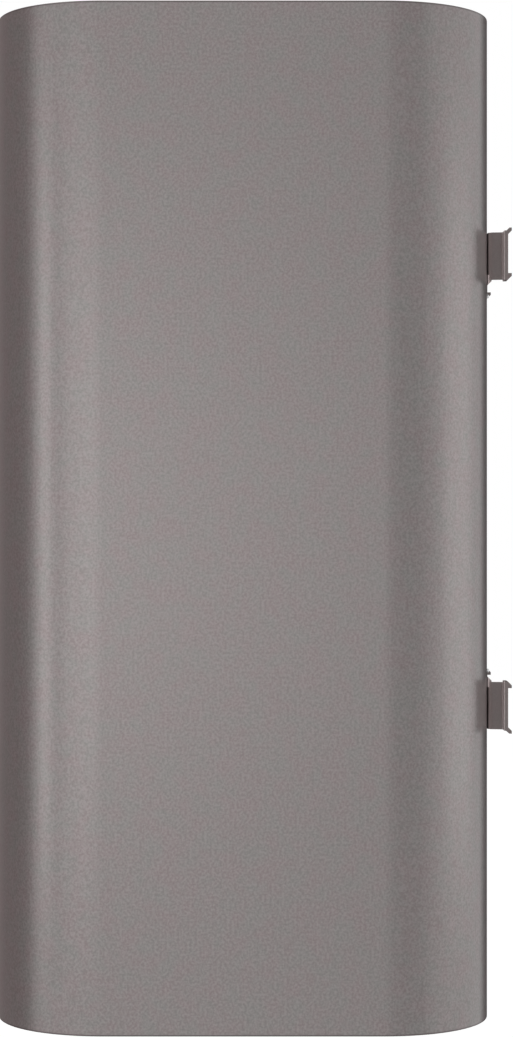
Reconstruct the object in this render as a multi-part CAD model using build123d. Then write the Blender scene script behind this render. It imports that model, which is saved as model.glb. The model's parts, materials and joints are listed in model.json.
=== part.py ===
from build123d import *
import math
import os

# A flat electric water heater that hangs on a wall: two upright tanks, side by side in one foamed casing.
# Seen from the front, X runs to the right, Y runs from the front towards the wall, and Z is up.
# Everything is laid out from the middle of the casing's lower edge, and moved at the end so that the origin
# is the centre of the four hook slots, on the face of the brackets that looks at the wall.

# Casing
height = 540.0
depth = 265.0
corner_radius = 59.0
sheet = 0.8
hem_height = 12.0
fold_share = 0.85
insulation = 20.0
seam_width = 9.0

# Caps at both ends of the casing
cap_recess = 3.0
cap_thickness = 2.2
skirt_height = 14.0
skirt_thickness = 2.0
cap_clearance = 0.2
field_inset = 22.0
field_rise = 1.0

# Tanks
tank_gap = 13.6
tank_wall = 1.5
crown_radius = 200.0
knuckle_radius = 25.0
bay_height = 66.0
head_room = 36.0
foam_clearance = 0.3
foam_floor = 2.0

# Round openings under the tanks, closed by bolted flanges
neck_radius = 29.5
neck_wall = 2.5
neck_drop = 3.0
neck_entry = 7.0
flange_rim = 15.0
bolt_circle_share = 0.6
neck_flange_thickness = 5.0
gasket_thickness = 3.0
plate_thickness = 3.0
bolt_count = 5
bolt_radius = 3.0
bolt_clearance = 0.2
bolt_head_flats = 10.0
bolt_head_height = 4.0
bolt_overrun = 1.5

# Heating elements, anodes and pockets on the flange plates
sheath_radius = 4.1
element_pitch = 32.0
element_rise = 205.0
sheath_tail = 8.0
pin_radius = 2.0
pin_length = 14.0
anode_radius = 11.0
anode_length = 180.0
anode_stud_radius = 2.5
anode_lift = 8.0
anode_room = 0.5
pocket_radius = 4.5
pocket_wall = 0.9
pocket_offset = 12.5
pocket_rise = 170.0
pocket_tail = 2.0
seat_clearance = 0.05

# Water pipes
nipple_radius = 10.65
thread_radius = 10.48
nipple_bore = 8.0
nipple_reach = 18.0
nipple_room = 15.3
nipple_turn = 57.0
nipple_entry = 10.0
liner_wall = 0.8
liner_rise = 70.0
ring_radius = 16.5
ring_flange = 1.5
ring_wall = 2.5
ring_gap = 1.5
crossover_radius = 8.0
crossover_wall = 1.2
crossover_inset = 30.5
crossover_bend = 16.0
crossover_rise = 20.0
crossover_entry = 7.0
dip_wall = 1.4
dip_stop = 14.0
standpipe_wall = 0.9
standpipe_overlap = 12.0
standpipe_room = 6.0
diffuser_wall = 2.0
diffuser_rise = 18.0
diffuser_slot_width = 3.0
diffuser_slot_length = 9.0
diffuser_slots = 6
pipe_clearance = 0.1

# Service cover
service_room = 9.5
service_corner = 12.0
ledge_width = 8.0
ledge_thickness = 2.5
boss_radius = 4.0
boss_height = 12.0
cover_clearance = 0.4
screw_radius = 1.6
screw_length = 12.0
screw_head_radius = 3.4
screw_head_height = 1.8

# Wall brackets
strip_height = 25.5
strip_sheet = 2.0
stand_off = 9.85
brim_inset = 40.0
brim_length = 10.0
leg_run = 1.2
crown_reach = 22.3
bend_radius = 2.5
root_flare = 2.7
lip_start = 1.1
lip_rise = 1.55
lip_reach = 1.95
fold_height = 2.6
fold_side = 1.1
fold_drop = 1.0
mitre_share = math.tan(math.pi / 8)
slot_pitch = 100.0
slot_length = 24.0
slot_radius = 4.5
upper_drop = 44.1
lower_rise = 54.8
stud_radius = 4.0
stud_foot_radius = 7.0
stud_foot_height = 2.0
stud_overrun = 2.0
stud_clearance = 0.4
rivet_radius = 1.2
rivet_proud = 1.5
rivet_inset = 61.0
rivet_drop = 20.8
rivet_rise = 18.2
nut_flats = 13.0
nut_height = 6.5

# Control panel
panel_height = 105.0
bezel_width = 176.0
bezel_height = 64.0
bezel_corner = 14.0
bezel_proud = 3.0
bezel_edge = 1.2
window_overlap = 2.0
plug_clearance = 0.3
plug_depth = 2.0
plug_wall = 2.0
box_wall = 1.5
box_room = 0.5
post_radius = 3.0
board_inset = 6.0
board_thickness = 1.6
board_depth = 12.5
lens_gap = 7.6
lens_height = 22.0
lens_corner = 3.0
lens_flange = 2.0
lens_flange_thickness = 1.0
lens_clearance = 0.15
lens_sink = 0.3
module_inset = 1.5
module_gap = 0.3
button_inset = 20.0
button_pitch = 22.0
knob_inset = 32.0

# Buttons and their switches
button_radius = 5.5
button_proud = 1.5
button_clearance = 0.2
button_travel = 1.2
button_flange = 1.3
button_flange_thickness = 1.0
button_stem_radius = 2.5
switch_size = 6.0
switch_height = 3.5
plunger_radius = 1.7
plunger_height = 1.0
plunger_gap = 0.1

# Temperature knob, its shaft and the potentiometer that it turns
shaft_radius = 3.0
running_clearance = 0.05
bushing_radius = 4.3
bushing_hole_clearance = 0.5
pot_size = 13.0
pot_height = 6.5
bushing_length = 4.0
shaft_engagement = 8.0
shaft_entry = 2.0
knob_radius = 20.0
knob_proud = 11.0
knob_gap = 0.5
knob_base = 3.5
knob_grip_width = 10.0
knob_edge = 0.8
knob_start = 135.0
knob_seat_clearance = 0.02

# Cut-out, sensor, terminals and leads in the bay under the tanks
cutout_length = 38.0
cutout_width = 22.0
cutout_height = 24.0
cutout_lead_in = 6.0
cutout_edge = 1.5
probe_clearance = 0.2
probe_room = 5.0
reset_radius = 3.0
reset_clearance = 0.1
reset_proud = 2.5
reset_entry = 4.0
reset_travel = 1.5
sensor_head_radius = 6.0
sensor_head_height = 12.0
block_length = 42.0
block_width = 16.0
block_height = 15.0
block_ports = 4
block_port_radius = 2.6
block_port_depth = 9.0
block_room = 27.7
gland_thread_radius = 8.0
gland_nut_flats = 20.0
gland_bore = 4.2
gland_reach = 14.0
gland_flange_height = 5.0
gland_dome_radius = 7.5
gland_lock_height = 5.0
gland_room = 20.0
gland_clearance = 0.2
lead_radius = 1.3
lead_bend = 6.0
lead_sag = 12.0
lead_spacing = 8.0
ribbon_radius = 1.8
ribbon_inset = 68.0
ribbon_bend = 10.0

overrun = 2.0

# Sizes that follow
tank_radius = depth / 2 - sheet - insulation
tank_offset = tank_radius + tank_gap / 2
width = 2 * (tank_offset + tank_radius + insulation + sheet)
crown_depth = math.sqrt((crown_radius - knuckle_radius) ** 2 - (tank_radius - knuckle_radius) ** 2)
crown_turn = math.degrees(math.atan2(tank_radius - knuckle_radius, crown_depth))
head_rise = crown_radius - crown_depth
barrel_low = bay_height + head_rise
barrel_high = height - head_room - head_rise
front_face = -depth / 2
back_face = depth / 2
inner_front = front_face + sheet

cap_width = width - 4 * sheet - 2 * cap_clearance
cap_depth = depth - 4 * sheet - 2 * cap_clearance
cap_corner = corner_radius - 2 * sheet - cap_clearance
floor_top = cap_recess + cap_thickness
ceiling_low = height - cap_recess - cap_thickness

flange_radius = neck_radius + flange_rim
bolt_circle = neck_radius + flange_rim * bolt_circle_share
flange_high = bay_height - neck_drop
flange_low = flange_high - neck_flange_thickness
gasket_low = flange_low - gasket_thickness
plate_low = gasket_low - plate_thickness
neck_bore = neck_radius - neck_wall
anode_offset = neck_bore - anode_radius - anode_room
pocket_low = plate_low - pocket_tail
pocket_bore = pocket_radius - pocket_wall
pin_low = plate_low - sheath_tail - pin_length

nipple_distance = tank_radius - nipple_room - nipple_radius
nipple_x = tank_offset - nipple_distance * math.cos(math.radians(nipple_turn))
nipple_y = nipple_distance * math.sin(math.radians(nipple_turn))
service_length = 2 * (tank_offset + flange_radius + service_room)
service_depth = 2 * (nipple_y - ring_radius - ring_gap)
crossover_x = tank_offset - crossover_inset
foam_low = bay_height - foam_floor

upper_level = barrel_high - upper_drop
lower_level = barrel_low + lower_rise
slot_level = (upper_level + lower_level) / 2
slot_face = back_face + stand_off

pocket_x = tank_offset - pocket_offset
cutout_top = pocket_low - seat_clearance
cutout_low = cutout_top - cutout_height
cutout_start = pocket_x + cutout_lead_in
cutout_end = cutout_start - cutout_length
reset_x = (cutout_start + cutout_end) / 2

power_place = bezel_width / 2 - button_inset
eco_place = power_place - button_pitch
knob_place = knob_inset - bezel_width / 2
lens_low = knob_place + knob_radius + lens_gap + lens_flange
lens_high = eco_place - button_radius - button_flange - lens_gap - lens_flange
lens_width = lens_high - lens_low
lens_place = (lens_low + lens_high) / 2
bezel_face = front_face - bezel_proud
board_face = inner_front + board_depth
board_back = board_face + board_thickness
box_back = inner_front + insulation - box_room


def rod(radius, low, high, x=0, y=0):
    """An upright round bar between two heights."""
    return Pos(x, y, low) * extrude(Circle(radius), high - low)


def tube(radius, bore, low, high, x=0, y=0):
    """An upright tube between two heights."""
    return Pos(x, y, low) * extrude(Circle(radius) - Circle(bore), high - low)


def holes(radius, low, high, places):
    """Upright round cutters at several places, run past both faces."""
    return [rod(radius, low - overrun, high + overrun, x, y) for x, y in places]


def slab(length, breadth, corner, low, high):
    """A flat block with rounded upright corners, centred on the casing."""
    return Pos(0, 0, low) * extrude(RectangleRounded(length, breadth, corner), high - low)


def through(sketch, x, z, near, far):
    """A sketch seen from the front, pushed back from one depth to another."""
    face = Plane(origin=(x, near, z), x_dir=(1, 0, 0), z_dir=(0, 1, 0))
    return extrude(face * sketch, far - near)


def wire_run(radius, bend, points):
    """A round wire along straight runs joined by even bends."""
    path = FilletPolyline(*points, radius=bend)
    start = Plane(origin=path @ 0, z_dir=path % 0)
    return sweep(start * Circle(radius), path)


def casing_plan(inset):
    """The plan of the casing, moved in from its outside."""
    return RectangleRounded(width - 2 * inset, depth - 2 * inset, corner_radius - inset)


def tank_end(inset):
    """The dished end of a tank, filled, on its rim, with its surface moved in by a wall."""
    crown = CenterArc((0, -crown_depth), crown_radius - inset, 90 - crown_turn, crown_turn)
    knuckle = CenterArc((tank_radius - knuckle_radius, 0), knuckle_radius - inset, 0, 90 - crown_turn)
    axis_line = Line(crown @ 1, (0, 0))
    rim_line = Line((0, 0), knuckle @ 0)
    return revolve(Plane.XZ * make_face([crown, knuckle, axis_line, rim_line]), Axis.Z)


def end_height(distance, inset=0):
    """How far a tank's end stands out of its rim at a distance from the tank's axis."""
    return math.sqrt((crown_radius - inset) ** 2 - distance ** 2) - crown_depth


def tank_space(grow):
    """The whole room of one tank, grown all round."""
    barrel = rod(tank_radius + grow, barrel_low, barrel_high)
    upper = Pos(0, 0, barrel_high) * tank_end(-grow)
    lower = Pos(0, 0, barrel_low) * Rot(180, 0, 0) * tank_end(-grow)
    return barrel + upper + lower


def flange_places():
    """The bolts round a flange, with one of them on the side away from the other tank."""
    turns = [2 * math.pi / bolt_count * step for step in range(bolt_count)]
    return [(bolt_circle * math.cos(turn), bolt_circle * math.sin(turn)) for turn in turns]


def screw_places():
    """The screws of the service cover, along the middle of its ledge."""
    reach = service_length / 2 - ledge_width / 2
    aside = service_depth / 2 - ledge_width / 2
    corner = service_corner * (1 - math.sqrt(0.5)) / 2
    ends = [(x * (reach - corner), y * (aside - corner)) for x in (-1, 1) for y in (-1, 1)]
    return ends + [(0, y * aside) for y in (-1, 1)]


def both_sides(shape):
    """A piece on the right and its mirror image on the left."""
    return {"right": shape, "left": mirror(shape, Plane.YZ)}


def outer_shell():
    """The wrapped casing sheet, folded in at both ends, with its lock seam down the back."""
    wall = extrude(casing_plan(0) - casing_plan(sheet), height)
    fold = extrude(casing_plan(sheet) - casing_plan(2 * sheet), hem_height)
    shell = wall + fold + Pos(0, 0, height - hem_height) * fold
    rims = shell.edges().group_by(Axis.Z)
    shell = fillet(rims[0] + rims[-1], sheet * fold_share)
    seam_plan = Rectangle(seam_width, height - 2 * hem_height)
    seam = through(seam_plan, 0, height / 2, back_face, back_face + sheet)
    window_plan = RectangleRounded(
        bezel_width - 2 * window_overlap, bezel_height - 2 * window_overlap, bezel_corner - window_overlap
    )
    window = through(window_plan, 0, panel_height, front_face - overrun, inner_front + overrun)
    stud_holes = [stud_hole(x, level) for x in (-1, 1) for level in (lower_level, upper_level)]
    return shell + seam - window - stud_holes


def stud_hole(side, level):
    """The way of one bracket stud through the sheets."""
    hole = Circle(stud_radius + stud_clearance)
    return through(hole, side * tank_offset, level, back_face - sheet - overrun, slot_face)


def cap_blank():
    """A cap as a shallow tray, lying with its face down at height zero."""
    tray = slab(cap_width, cap_depth, cap_corner, 0, cap_thickness + skirt_height)
    inner_corner = cap_corner - skirt_thickness
    inner_width = cap_width - 2 * skirt_thickness
    inner_depth = cap_depth - 2 * skirt_thickness
    inner_top = cap_thickness + skirt_height + overrun
    return tray - slab(inner_width, inner_depth, inner_corner, cap_thickness, inner_top)


def top_cap():
    """The upper cap, turned over, with a raised field that sheds water."""
    tray = Pos(0, 0, height - cap_recess) * Rot(180, 0, 0) * cap_blank()
    field_width = cap_width - 2 * field_inset
    field_depth = cap_depth - 2 * field_inset
    field_low = height - cap_recess
    field = slab(field_width, field_depth, cap_corner - field_inset, field_low, field_low + field_rise)
    return tray + chamfer(field.faces().sort_by(Axis.Z)[-1].edges(), field_rise / 2)


def bottom_cap():
    """The lower cap, with the service opening and its ledge, and the holes for pipes and cable."""
    tray = Pos(0, 0, cap_recess) * cap_blank()
    opening = slab(service_length, service_depth, service_corner, 0, height)
    ledge_top = floor_top + ledge_thickness
    frame_length = service_length + ledge_width
    frame_depth = service_depth + ledge_width
    frame_corner = service_corner + ledge_width / 2
    ledge = slab(frame_length, frame_depth, frame_corner, floor_top, ledge_top)
    inner_length = service_length - 2 * ledge_width
    inner_depth = service_depth - 2 * ledge_width
    inner_corner = service_corner - ledge_width / 2
    ledge -= slab(inner_length, inner_depth, inner_corner, 0, height)
    boss_top = floor_top + boss_height
    bosses = [rod(boss_radius, floor_top, boss_top, x, y) for x, y in screw_places()]
    pilots = holes(screw_radius + seat_clearance, 0, boss_top, screw_places())
    sleeve = nipple_radius + pipe_clearance + ring_wall + cap_clearance
    pipes = [(x * nipple_x, nipple_y) for x in (-1, 1)]
    ring_seats = [tube(ring_radius, sleeve, floor_top, ledge_top, x, y) - opening for x, y in pipes]
    gland_radius = gland_thread_radius + gland_clearance
    gland_hole = holes(gland_radius, 0, floor_top, [gland_place()])
    cutters = pilots + holes(sleeve, 0, floor_top, pipes) + gland_hole
    return tray - opening + ledge + bosses + ring_seats - cutters


def gland_place():
    """Where the cable comes in: behind the service opening, beyond the terminal block."""
    across = nipple_x + ring_radius + block_room + block_length + gland_room
    return -across, nipple_y + ring_gap + gland_thread_radius


def service_cover():
    """The plate that closes the bay under the tanks."""
    length = service_length - 2 * cover_clearance
    breadth = service_depth - 2 * cover_clearance
    plate = slab(length, breadth, service_corner - cover_clearance, cap_recess, floor_top)
    field_length = length - 4 * ledge_width
    field_breadth = breadth - 4 * ledge_width
    field_top = cap_recess + cap_thickness / 2
    field = slab(field_length, field_breadth, service_corner, cap_recess - overrun, field_top)
    return plate - field - holes(screw_radius + cap_clearance, cap_recess, floor_top, screw_places())


def cover_screws():
    """The pan-head screws of the service cover."""
    screws = []
    for x, y in screw_places():
        head = rod(screw_head_radius, cap_recess - screw_head_height, cap_recess, x, y)
        head = chamfer(head.edges().sort_by(Axis.Z)[0], screw_head_height / 2)
        screws.append(head + rod(screw_radius, cap_recess, cap_recess + screw_length, x, y))
    return screws


def foam_block():
    """The hard foam that fills the casing round the tanks, above the bay."""
    shoulder = ceiling_low - skirt_height - foam_clearance
    block = Pos(0, 0, foam_low) * extrude(casing_plan(sheet + foam_clearance), shoulder - foam_low)
    inset = 2 * sheet + cap_clearance + skirt_thickness + foam_clearance
    block += Pos(0, 0, shoulder) * extrude(casing_plan(inset), ceiling_low - foam_clearance - shoulder)
    tank = tank_space(foam_clearance)
    block -= [Pos(x * tank_offset, 0, 0) * tank for x in (-1, 1)]
    neck = flange_radius + foam_clearance
    block -= holes(neck, foam_low, barrel_low, [(x * tank_offset, 0) for x in (-1, 1)])
    nipple = nipple_radius + foam_clearance
    block -= holes(nipple, foam_low, barrel_low, [(x * nipple_x, nipple_y) for x in (-1, 1)])
    block -= crossover_run(crossover_radius + foam_clearance)
    stud = Circle(stud_foot_radius + foam_clearance)
    for level in (lower_level, upper_level):
        block -= [through(stud, x * tank_offset, level, 0, depth) for x in (-1, 1)]
    grow = 2 * foam_clearance
    box_plan = RectangleRounded(bezel_width + grow, bezel_height + grow, bezel_corner + foam_clearance)
    block -= through(box_plan, 0, panel_height, front_face, box_back + foam_clearance)
    block -= wire_run(ribbon_radius + foam_clearance, ribbon_bend, ribbon_points())
    return block


def crossover_run(radius):
    """A round bar along the way of the pipe that joins the tanks at the top."""
    top = barrel_high + head_rise + crossover_rise
    low = barrel_high + end_height(crossover_inset) - crossover_entry
    right = [(crossover_x, 0, low), (crossover_x, 0, top)]
    left = [(-crossover_x, 0, top), (-crossover_x, 0, low)]
    return wire_run(radius, crossover_bend, right + left)


def tank_pieces():
    """The barrels and dished ends of both tanks, with their openings for the right-hand one and mirrored."""
    shell = tank_end(0) - tank_end(tank_wall)
    upper = Pos(tank_offset, 0, barrel_high) * shell
    pipe_hole = crossover_radius + pipe_clearance
    upper -= rod(pipe_hole, barrel_high, height, crossover_x)
    lower = Pos(tank_offset, 0, barrel_low) * Rot(180, 0, 0) * shell
    lower -= rod(neck_radius + pipe_clearance, 0, barrel_low, tank_offset)
    lower -= rod(nipple_radius + pipe_clearance, 0, barrel_low, nipple_x, nipple_y)
    barrel = tube(tank_radius, tank_radius - tank_wall, barrel_low, barrel_high, tank_offset)
    return {"tank_barrel": barrel, "upper_dome": upper, "lower_dome": lower}


def flange_pieces():
    """What closes the opening under the right-hand tank and hangs in it."""
    at = tank_offset
    bolts = [(at + x, y) for x, y in flange_places()]
    hole = bolt_radius + bolt_clearance
    neck = tube(neck_radius, neck_bore, flange_low, bay_height + neck_entry, at)
    neck += tube(flange_radius, neck_bore, flange_low, flange_high, at)
    neck -= holes(bolt_radius + seat_clearance, flange_low, flange_high, bolts)
    gasket = tube(flange_radius, neck_bore, gasket_low, flange_low, at)
    gasket -= holes(hole, gasket_low, flange_low, bolts)
    legs = [(at, side * element_pitch / 2) for side in (-1, 1)]
    anode_x = at + anode_offset
    plate = rod(flange_radius, plate_low, gasket_low, at)
    plate -= holes(hole, plate_low, gasket_low, bolts)
    plate -= holes(sheath_radius + seat_clearance, plate_low, gasket_low, legs)
    plate -= holes(anode_stud_radius + seat_clearance, plate_low, gasket_low, [(anode_x, 0)])
    plate -= holes(pocket_radius + seat_clearance, plate_low, gasket_low, [(pocket_x, 0)])
    anode_low = gasket_low + anode_lift
    anode = rod(anode_radius, anode_low, anode_low + anode_length, anode_x)
    anode += rod(anode_stud_radius, plate_low, anode_low, anode_x)
    pocket_high = gasket_low + pocket_rise
    pocket = rod(pocket_radius, pocket_low, pocket_high, pocket_x)
    pocket = chamfer(pocket.edges().sort_by(Axis.Z)[-1], pocket_radius / 2)
    pocket -= rod(pocket_bore, pocket_low, pocket_high - 2 * pocket_wall, pocket_x)
    return {
        "neck_flange": neck,
        "flange_gasket": gasket,
        "flange_plate": plate,
        "flange_bolts": [flange_bolt(x, y) for x, y in bolts],
        "heating_element": heating_element(at),
        "anode_rod": anode,
        "sensor_pocket": pocket,
    }


def flange_bolt(x, y):
    """One hexagon bolt, screwed up into the neck flange."""
    hexagon = RegularPolygon(bolt_head_flats / 2, 6, major_radius=False)
    head = Pos(x, y, plate_low - bolt_head_height) * extrude(hexagon, bolt_head_height)
    return head + rod(bolt_radius, plate_low, flange_high + bolt_overrun, x, y)


def heating_element(x):
    """A hairpin of sheathed wire with a cold pin at each end."""
    low = plate_low - sheath_tail
    top = gasket_low + element_rise
    half = element_pitch / 2
    rise = Line((x, -half, low), (x, -half, top - half))
    bend = ThreePointArc((x, -half, top - half), (x, 0, top), (x, half, top - half))
    fall = Line((x, half, top - half), (x, half, low))
    start = Plane(origin=(x, -half, low), z_dir=(0, 0, 1))
    sheath = sweep(start * Circle(sheath_radius), Wire([rise, bend, fall]))
    return sheath + [rod(pin_radius, pin_low, low, x, side * half) for side in (-1, 1)]


def nipples():
    """The threaded pipe ends under the casing, up into each tank."""
    high = barrel_low - end_height(nipple_distance + nipple_radius, tank_wall) + nipple_entry
    pipe = tube(nipple_radius, nipple_bore, 0, high, nipple_x, nipple_y)
    return pipe + tube(thread_radius, nipple_bore, -nipple_reach, 0, nipple_x, nipple_y), high


def nipple_liners():
    """The plastic sleeves that line the pipe ends."""
    outer = nipple_bore - pipe_clearance
    bore = outer - liner_wall
    liner = tube(outer, bore, -nipple_reach, liner_rise - nipple_reach, nipple_x, nipple_y)
    lip = tube(nipple_bore + liner_wall, bore, -nipple_reach - liner_wall, -nipple_reach, nipple_x, nipple_y)
    return liner + lip


def marker_ring():
    """The coloured ring round a pipe end, pushed into the lower cap."""
    inner = nipple_radius + pipe_clearance
    ring = tube(ring_radius, inner, cap_recess - ring_flange, cap_recess, nipple_x, nipple_y)
    sleeve_top = floor_top + ledge_thickness
    return ring + tube(inner + ring_wall, inner, cap_recess, sleeve_top, nipple_x, nipple_y)


def crossover_pipe():
    """The pipe from the top of the cold tank to the top of the hot one."""
    return crossover_run(crossover_radius) - crossover_run(crossover_radius - crossover_wall)


def dip_tube():
    """The plastic tube that takes the crossing water to the bottom of the hot tank."""
    bore = crossover_radius + pipe_clearance
    radius = bore + dip_wall
    high = barrel_high + end_height(crossover_inset + radius, tank_wall) - pipe_clearance
    return tube(radius, bore, bay_height + neck_entry + dip_stop, high, -crossover_x)


def hot_standpipe(nipple_high):
    """The steel tube that draws hot water from the top of the hot tank."""
    outer = nipple_bore - pipe_clearance
    high = barrel_high + end_height(nipple_distance + nipple_radius, tank_wall) - standpipe_room
    return tube(outer, outer - standpipe_wall, nipple_high - standpipe_overlap, high, -nipple_x, nipple_y)


def cold_diffuser(nipple_high):
    """The slotted cap that spreads the cold water as it comes in."""
    bore = nipple_radius + pipe_clearance
    radius = bore + diffuser_wall
    seat = nipple_high - nipple_entry / 2
    top = nipple_high + diffuser_rise
    cap = rod(radius, seat, top, nipple_x, nipple_y)
    cap -= rod(bore, seat - overrun, top - diffuser_wall, nipple_x, nipple_y)
    from_axis = (Align.MIN, Align.CENTER, Align.MIN)
    slot = Box(radius + overrun, diffuser_slot_width, diffuser_slot_length, align=from_axis)
    slot_low = top - diffuser_wall - diffuser_slot_length
    for step in range(diffuser_slots):
        cap -= Pos(nipple_x, nipple_y, slot_low) * Rot(0, 0, 360 / diffuser_slots * step) * slot
    return cap


def raised_section():
    """The section of a bracket's raised parts: flared at the outer edge, folded at the inner one."""
    edge = strip_height / 2
    near = slot_face - strip_sheet
    tip = slot_face + lip_reach
    flare_low = edge - lip_start - strip_sheet * mitre_share
    fold_low = fold_side + fold_drop
    return Plane.YZ * make_face(
        Polyline(
            (near, -edge - fold_drop),
            (near, edge - lip_start),
            (near + lip_start + lip_rise, edge + lip_rise),
            (tip, edge + lip_rise),
            (tip, flare_low + lip_reach),
            (slot_face, flare_low),
            (slot_face, fold_height - edge),
            (tip, fold_height - edge),
            (tip, fold_side - edge),
            (tip - fold_low, -edge - fold_drop),
            close=True,
        )
    )


def wall_bracket(level, up):
    """A stamped strip: brim, leg, crown on the casing, leg, raised bridge, and the same again."""
    raised = slot_face - strip_sheet / 2
    seated = back_face + strip_sheet / 2
    brim_out = width / 2 - brim_inset
    brim_in = brim_out - brim_length
    crown_out = brim_in - leg_run
    crown_in = tank_offset - crown_reach
    bridge = crown_in - leg_run
    legs = [(brim_in, raised), (crown_out, seated), (crown_in, seated), (bridge, raised)]
    half = [(brim_out, raised)] + legs
    points = half + [(-x, y) for x, y in reversed(half)]
    line = FilletPolyline(*points, radius=bend_radius)
    strip = extrude(trace(line, strip_sheet), strip_height / 2, both=True)
    section = raised_section()
    brim = Pos(brim_in, 0, 0) * extrude(section, brim_length)
    strip += [brim, mirror(brim, Plane.YZ), extrude(section, bridge, both=True)]
    crown_middle = (crown_out + crown_in) / 2
    foot_plan = Rectangle(crown_out - crown_in, 2 * root_flare)
    foot = through(foot_plan, crown_middle, -strip_height / 2, back_face, back_face + strip_sheet)
    toe = foot.edges().filter_by(Axis.X).group_by(Axis.Z)[0].sort_by(Axis.Y)[-1]
    foot = chamfer(toe, strip_sheet - seat_clearance)
    strip += [foot, mirror(foot, Plane.YZ)]
    strip = Pos(0, 0, level) * (strip if up else mirror(strip, Plane.XY))
    slot = SlotOverall(slot_length, 2 * slot_radius)
    strip -= [through(slot, x * slot_pitch / 2, level, back_face, slot_face + overrun) for x in (-1, 1)]
    return strip - [stud_hole(x, level) for x in (-1, 1)]


def bracket_studs():
    """The studs welded to the tanks, out through the foam and the sheets."""
    tip = back_face + strip_sheet + nut_height + stud_overrun
    base = tank_radius - stud_foot_height
    foot_end = tank_radius + stud_foot_height
    studs = []
    for x in (-tank_offset, tank_offset):
        tank = rod(tank_radius, 0, height, x)
        for level in (lower_level, upper_level):
            shank = through(Circle(stud_radius), x, level, base, tip)
            foot = through(Circle(stud_foot_radius), x, level, base, foot_end)
            studs.append(shank + foot - tank)
    return studs


def bracket_nuts():
    """The nuts that hold the brackets on their studs."""
    plan = RegularPolygon(nut_flats / 2, 6, major_radius=False) - Circle(stud_radius + seat_clearance)
    low = back_face + strip_sheet
    places = [(x * tank_offset, level) for x in (-1, 1) for level in (lower_level, upper_level)]
    return [through(plan, x, level, low, low + nut_height) for x, level in places]


def casing_rivets():
    """The small rivets in the back of the casing, beside both brackets."""
    rivets = []
    for level in (upper_level - rivet_drop, lower_level + rivet_rise):
        for x in (rivet_inset - width / 2, width / 2 - rivet_inset):
            rivet = through(Circle(rivet_radius), x, level, back_face, back_face + rivet_proud)
            rivets.append(chamfer(rivet.edges().sort_by(Axis.Y)[-1], rivet_radius / 2))
    return rivets


def control_bezel():
    """The moulded front of the control panel, with its collar through the casing."""
    plate_plan = RectangleRounded(bezel_width, bezel_height, bezel_corner)
    bezel = through(plate_plan, 0, panel_height, bezel_face, front_face)
    bezel = chamfer(bezel.faces().sort_by(Axis.Y)[0].edges(), bezel_edge)
    inset = window_overlap + plug_clearance
    plug_end = inner_front + plug_depth
    collar = RectangleRounded(bezel_width - 2 * inset, bezel_height - 2 * inset, bezel_corner - inset)
    inset += plug_wall
    collar -= RectangleRounded(bezel_width - 2 * inset, bezel_height - 2 * inset, bezel_corner - inset)
    bezel += through(collar, 0, panel_height, front_face, plug_end)
    lens_hole = RectangleRounded(lens_width, lens_height, lens_corner)
    bezel -= through(lens_hole, lens_place, panel_height, bezel_face - overrun, front_face + overrun)
    shaft_hole = Circle(bushing_radius + bushing_hole_clearance)
    bezel -= through(shaft_hole, knob_place, panel_height, bezel_face - overrun, front_face + overrun)
    button_hole = Circle(button_radius + button_clearance)
    for x in (power_place, eco_place):
        bezel -= through(button_hole, x, panel_height, bezel_face - overrun, front_face + overrun)
    return bezel


def display_lens():
    """The clear window of the display, flanged behind the bezel."""
    length = lens_width - 2 * lens_clearance
    breadth = lens_height - 2 * lens_clearance
    front = RectangleRounded(length, breadth, lens_corner - lens_clearance)
    lens = through(front, lens_place, panel_height, bezel_face + lens_sink, front_face)
    back = RectangleRounded(lens_width + 2 * lens_flange, lens_height + 2 * lens_flange, lens_corner)
    return lens + through(back, lens_place, panel_height, front_face, front_face + lens_flange_thickness)


def display_module():
    """The digit display, standing on the control board behind its lens."""
    plan = Rectangle(lens_width - 2 * module_inset, lens_height - 2 * module_inset)
    face = front_face + lens_flange_thickness + module_gap
    return through(plan, lens_place, panel_height, face, board_face)


def control_box():
    """The tray behind the panel that keeps the foam off the electronics, with posts for the board."""
    outer_plan = RectangleRounded(bezel_width, bezel_height, bezel_corner)
    box = through(outer_plan, 0, panel_height, inner_front, box_back)
    inner_width = bezel_width - 2 * box_wall
    inner_height = bezel_height - 2 * box_wall
    inner_plan = RectangleRounded(inner_width, inner_height, bezel_corner - box_wall)
    box -= through(inner_plan, 0, panel_height, inner_front, box_back - box_wall)
    reach = bezel_width / 2 - box_wall - board_inset - bezel_corner / 2
    rise = bezel_height / 2 - box_wall - board_inset
    for x in (-reach, reach):
        for z in (panel_height - rise, panel_height + rise):
            box += through(Circle(post_radius), x, z, board_back, box_back)
    return box - wire_run(ribbon_radius + pipe_clearance, ribbon_bend, ribbon_points())


def control_board():
    """The printed board that carries display, potentiometer and switches."""
    inset = box_wall + board_inset / 2
    plan = RectangleRounded(bezel_width - 2 * inset, bezel_height - 2 * inset, bezel_corner - inset)
    return through(plan, 0, panel_height, board_face, board_back)


def potentiometer():
    """The potentiometer on the board, with the bushing that carries the knob's shaft."""
    body_face = board_face - pot_height
    body = through(Rectangle(pot_size, pot_size), knob_place, panel_height, body_face, board_face)
    body += through(Circle(bushing_radius), knob_place, panel_height, body_face - bushing_length, body_face)
    bore = Circle(shaft_radius + running_clearance)
    bore_face = body_face - bushing_length - overrun
    return body - through(bore, knob_place, panel_height, bore_face, shaft_end() + running_clearance)


def shaft_end():
    """How deep the knob's shaft reaches into the potentiometer."""
    return board_face - pot_height + shaft_entry


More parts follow.
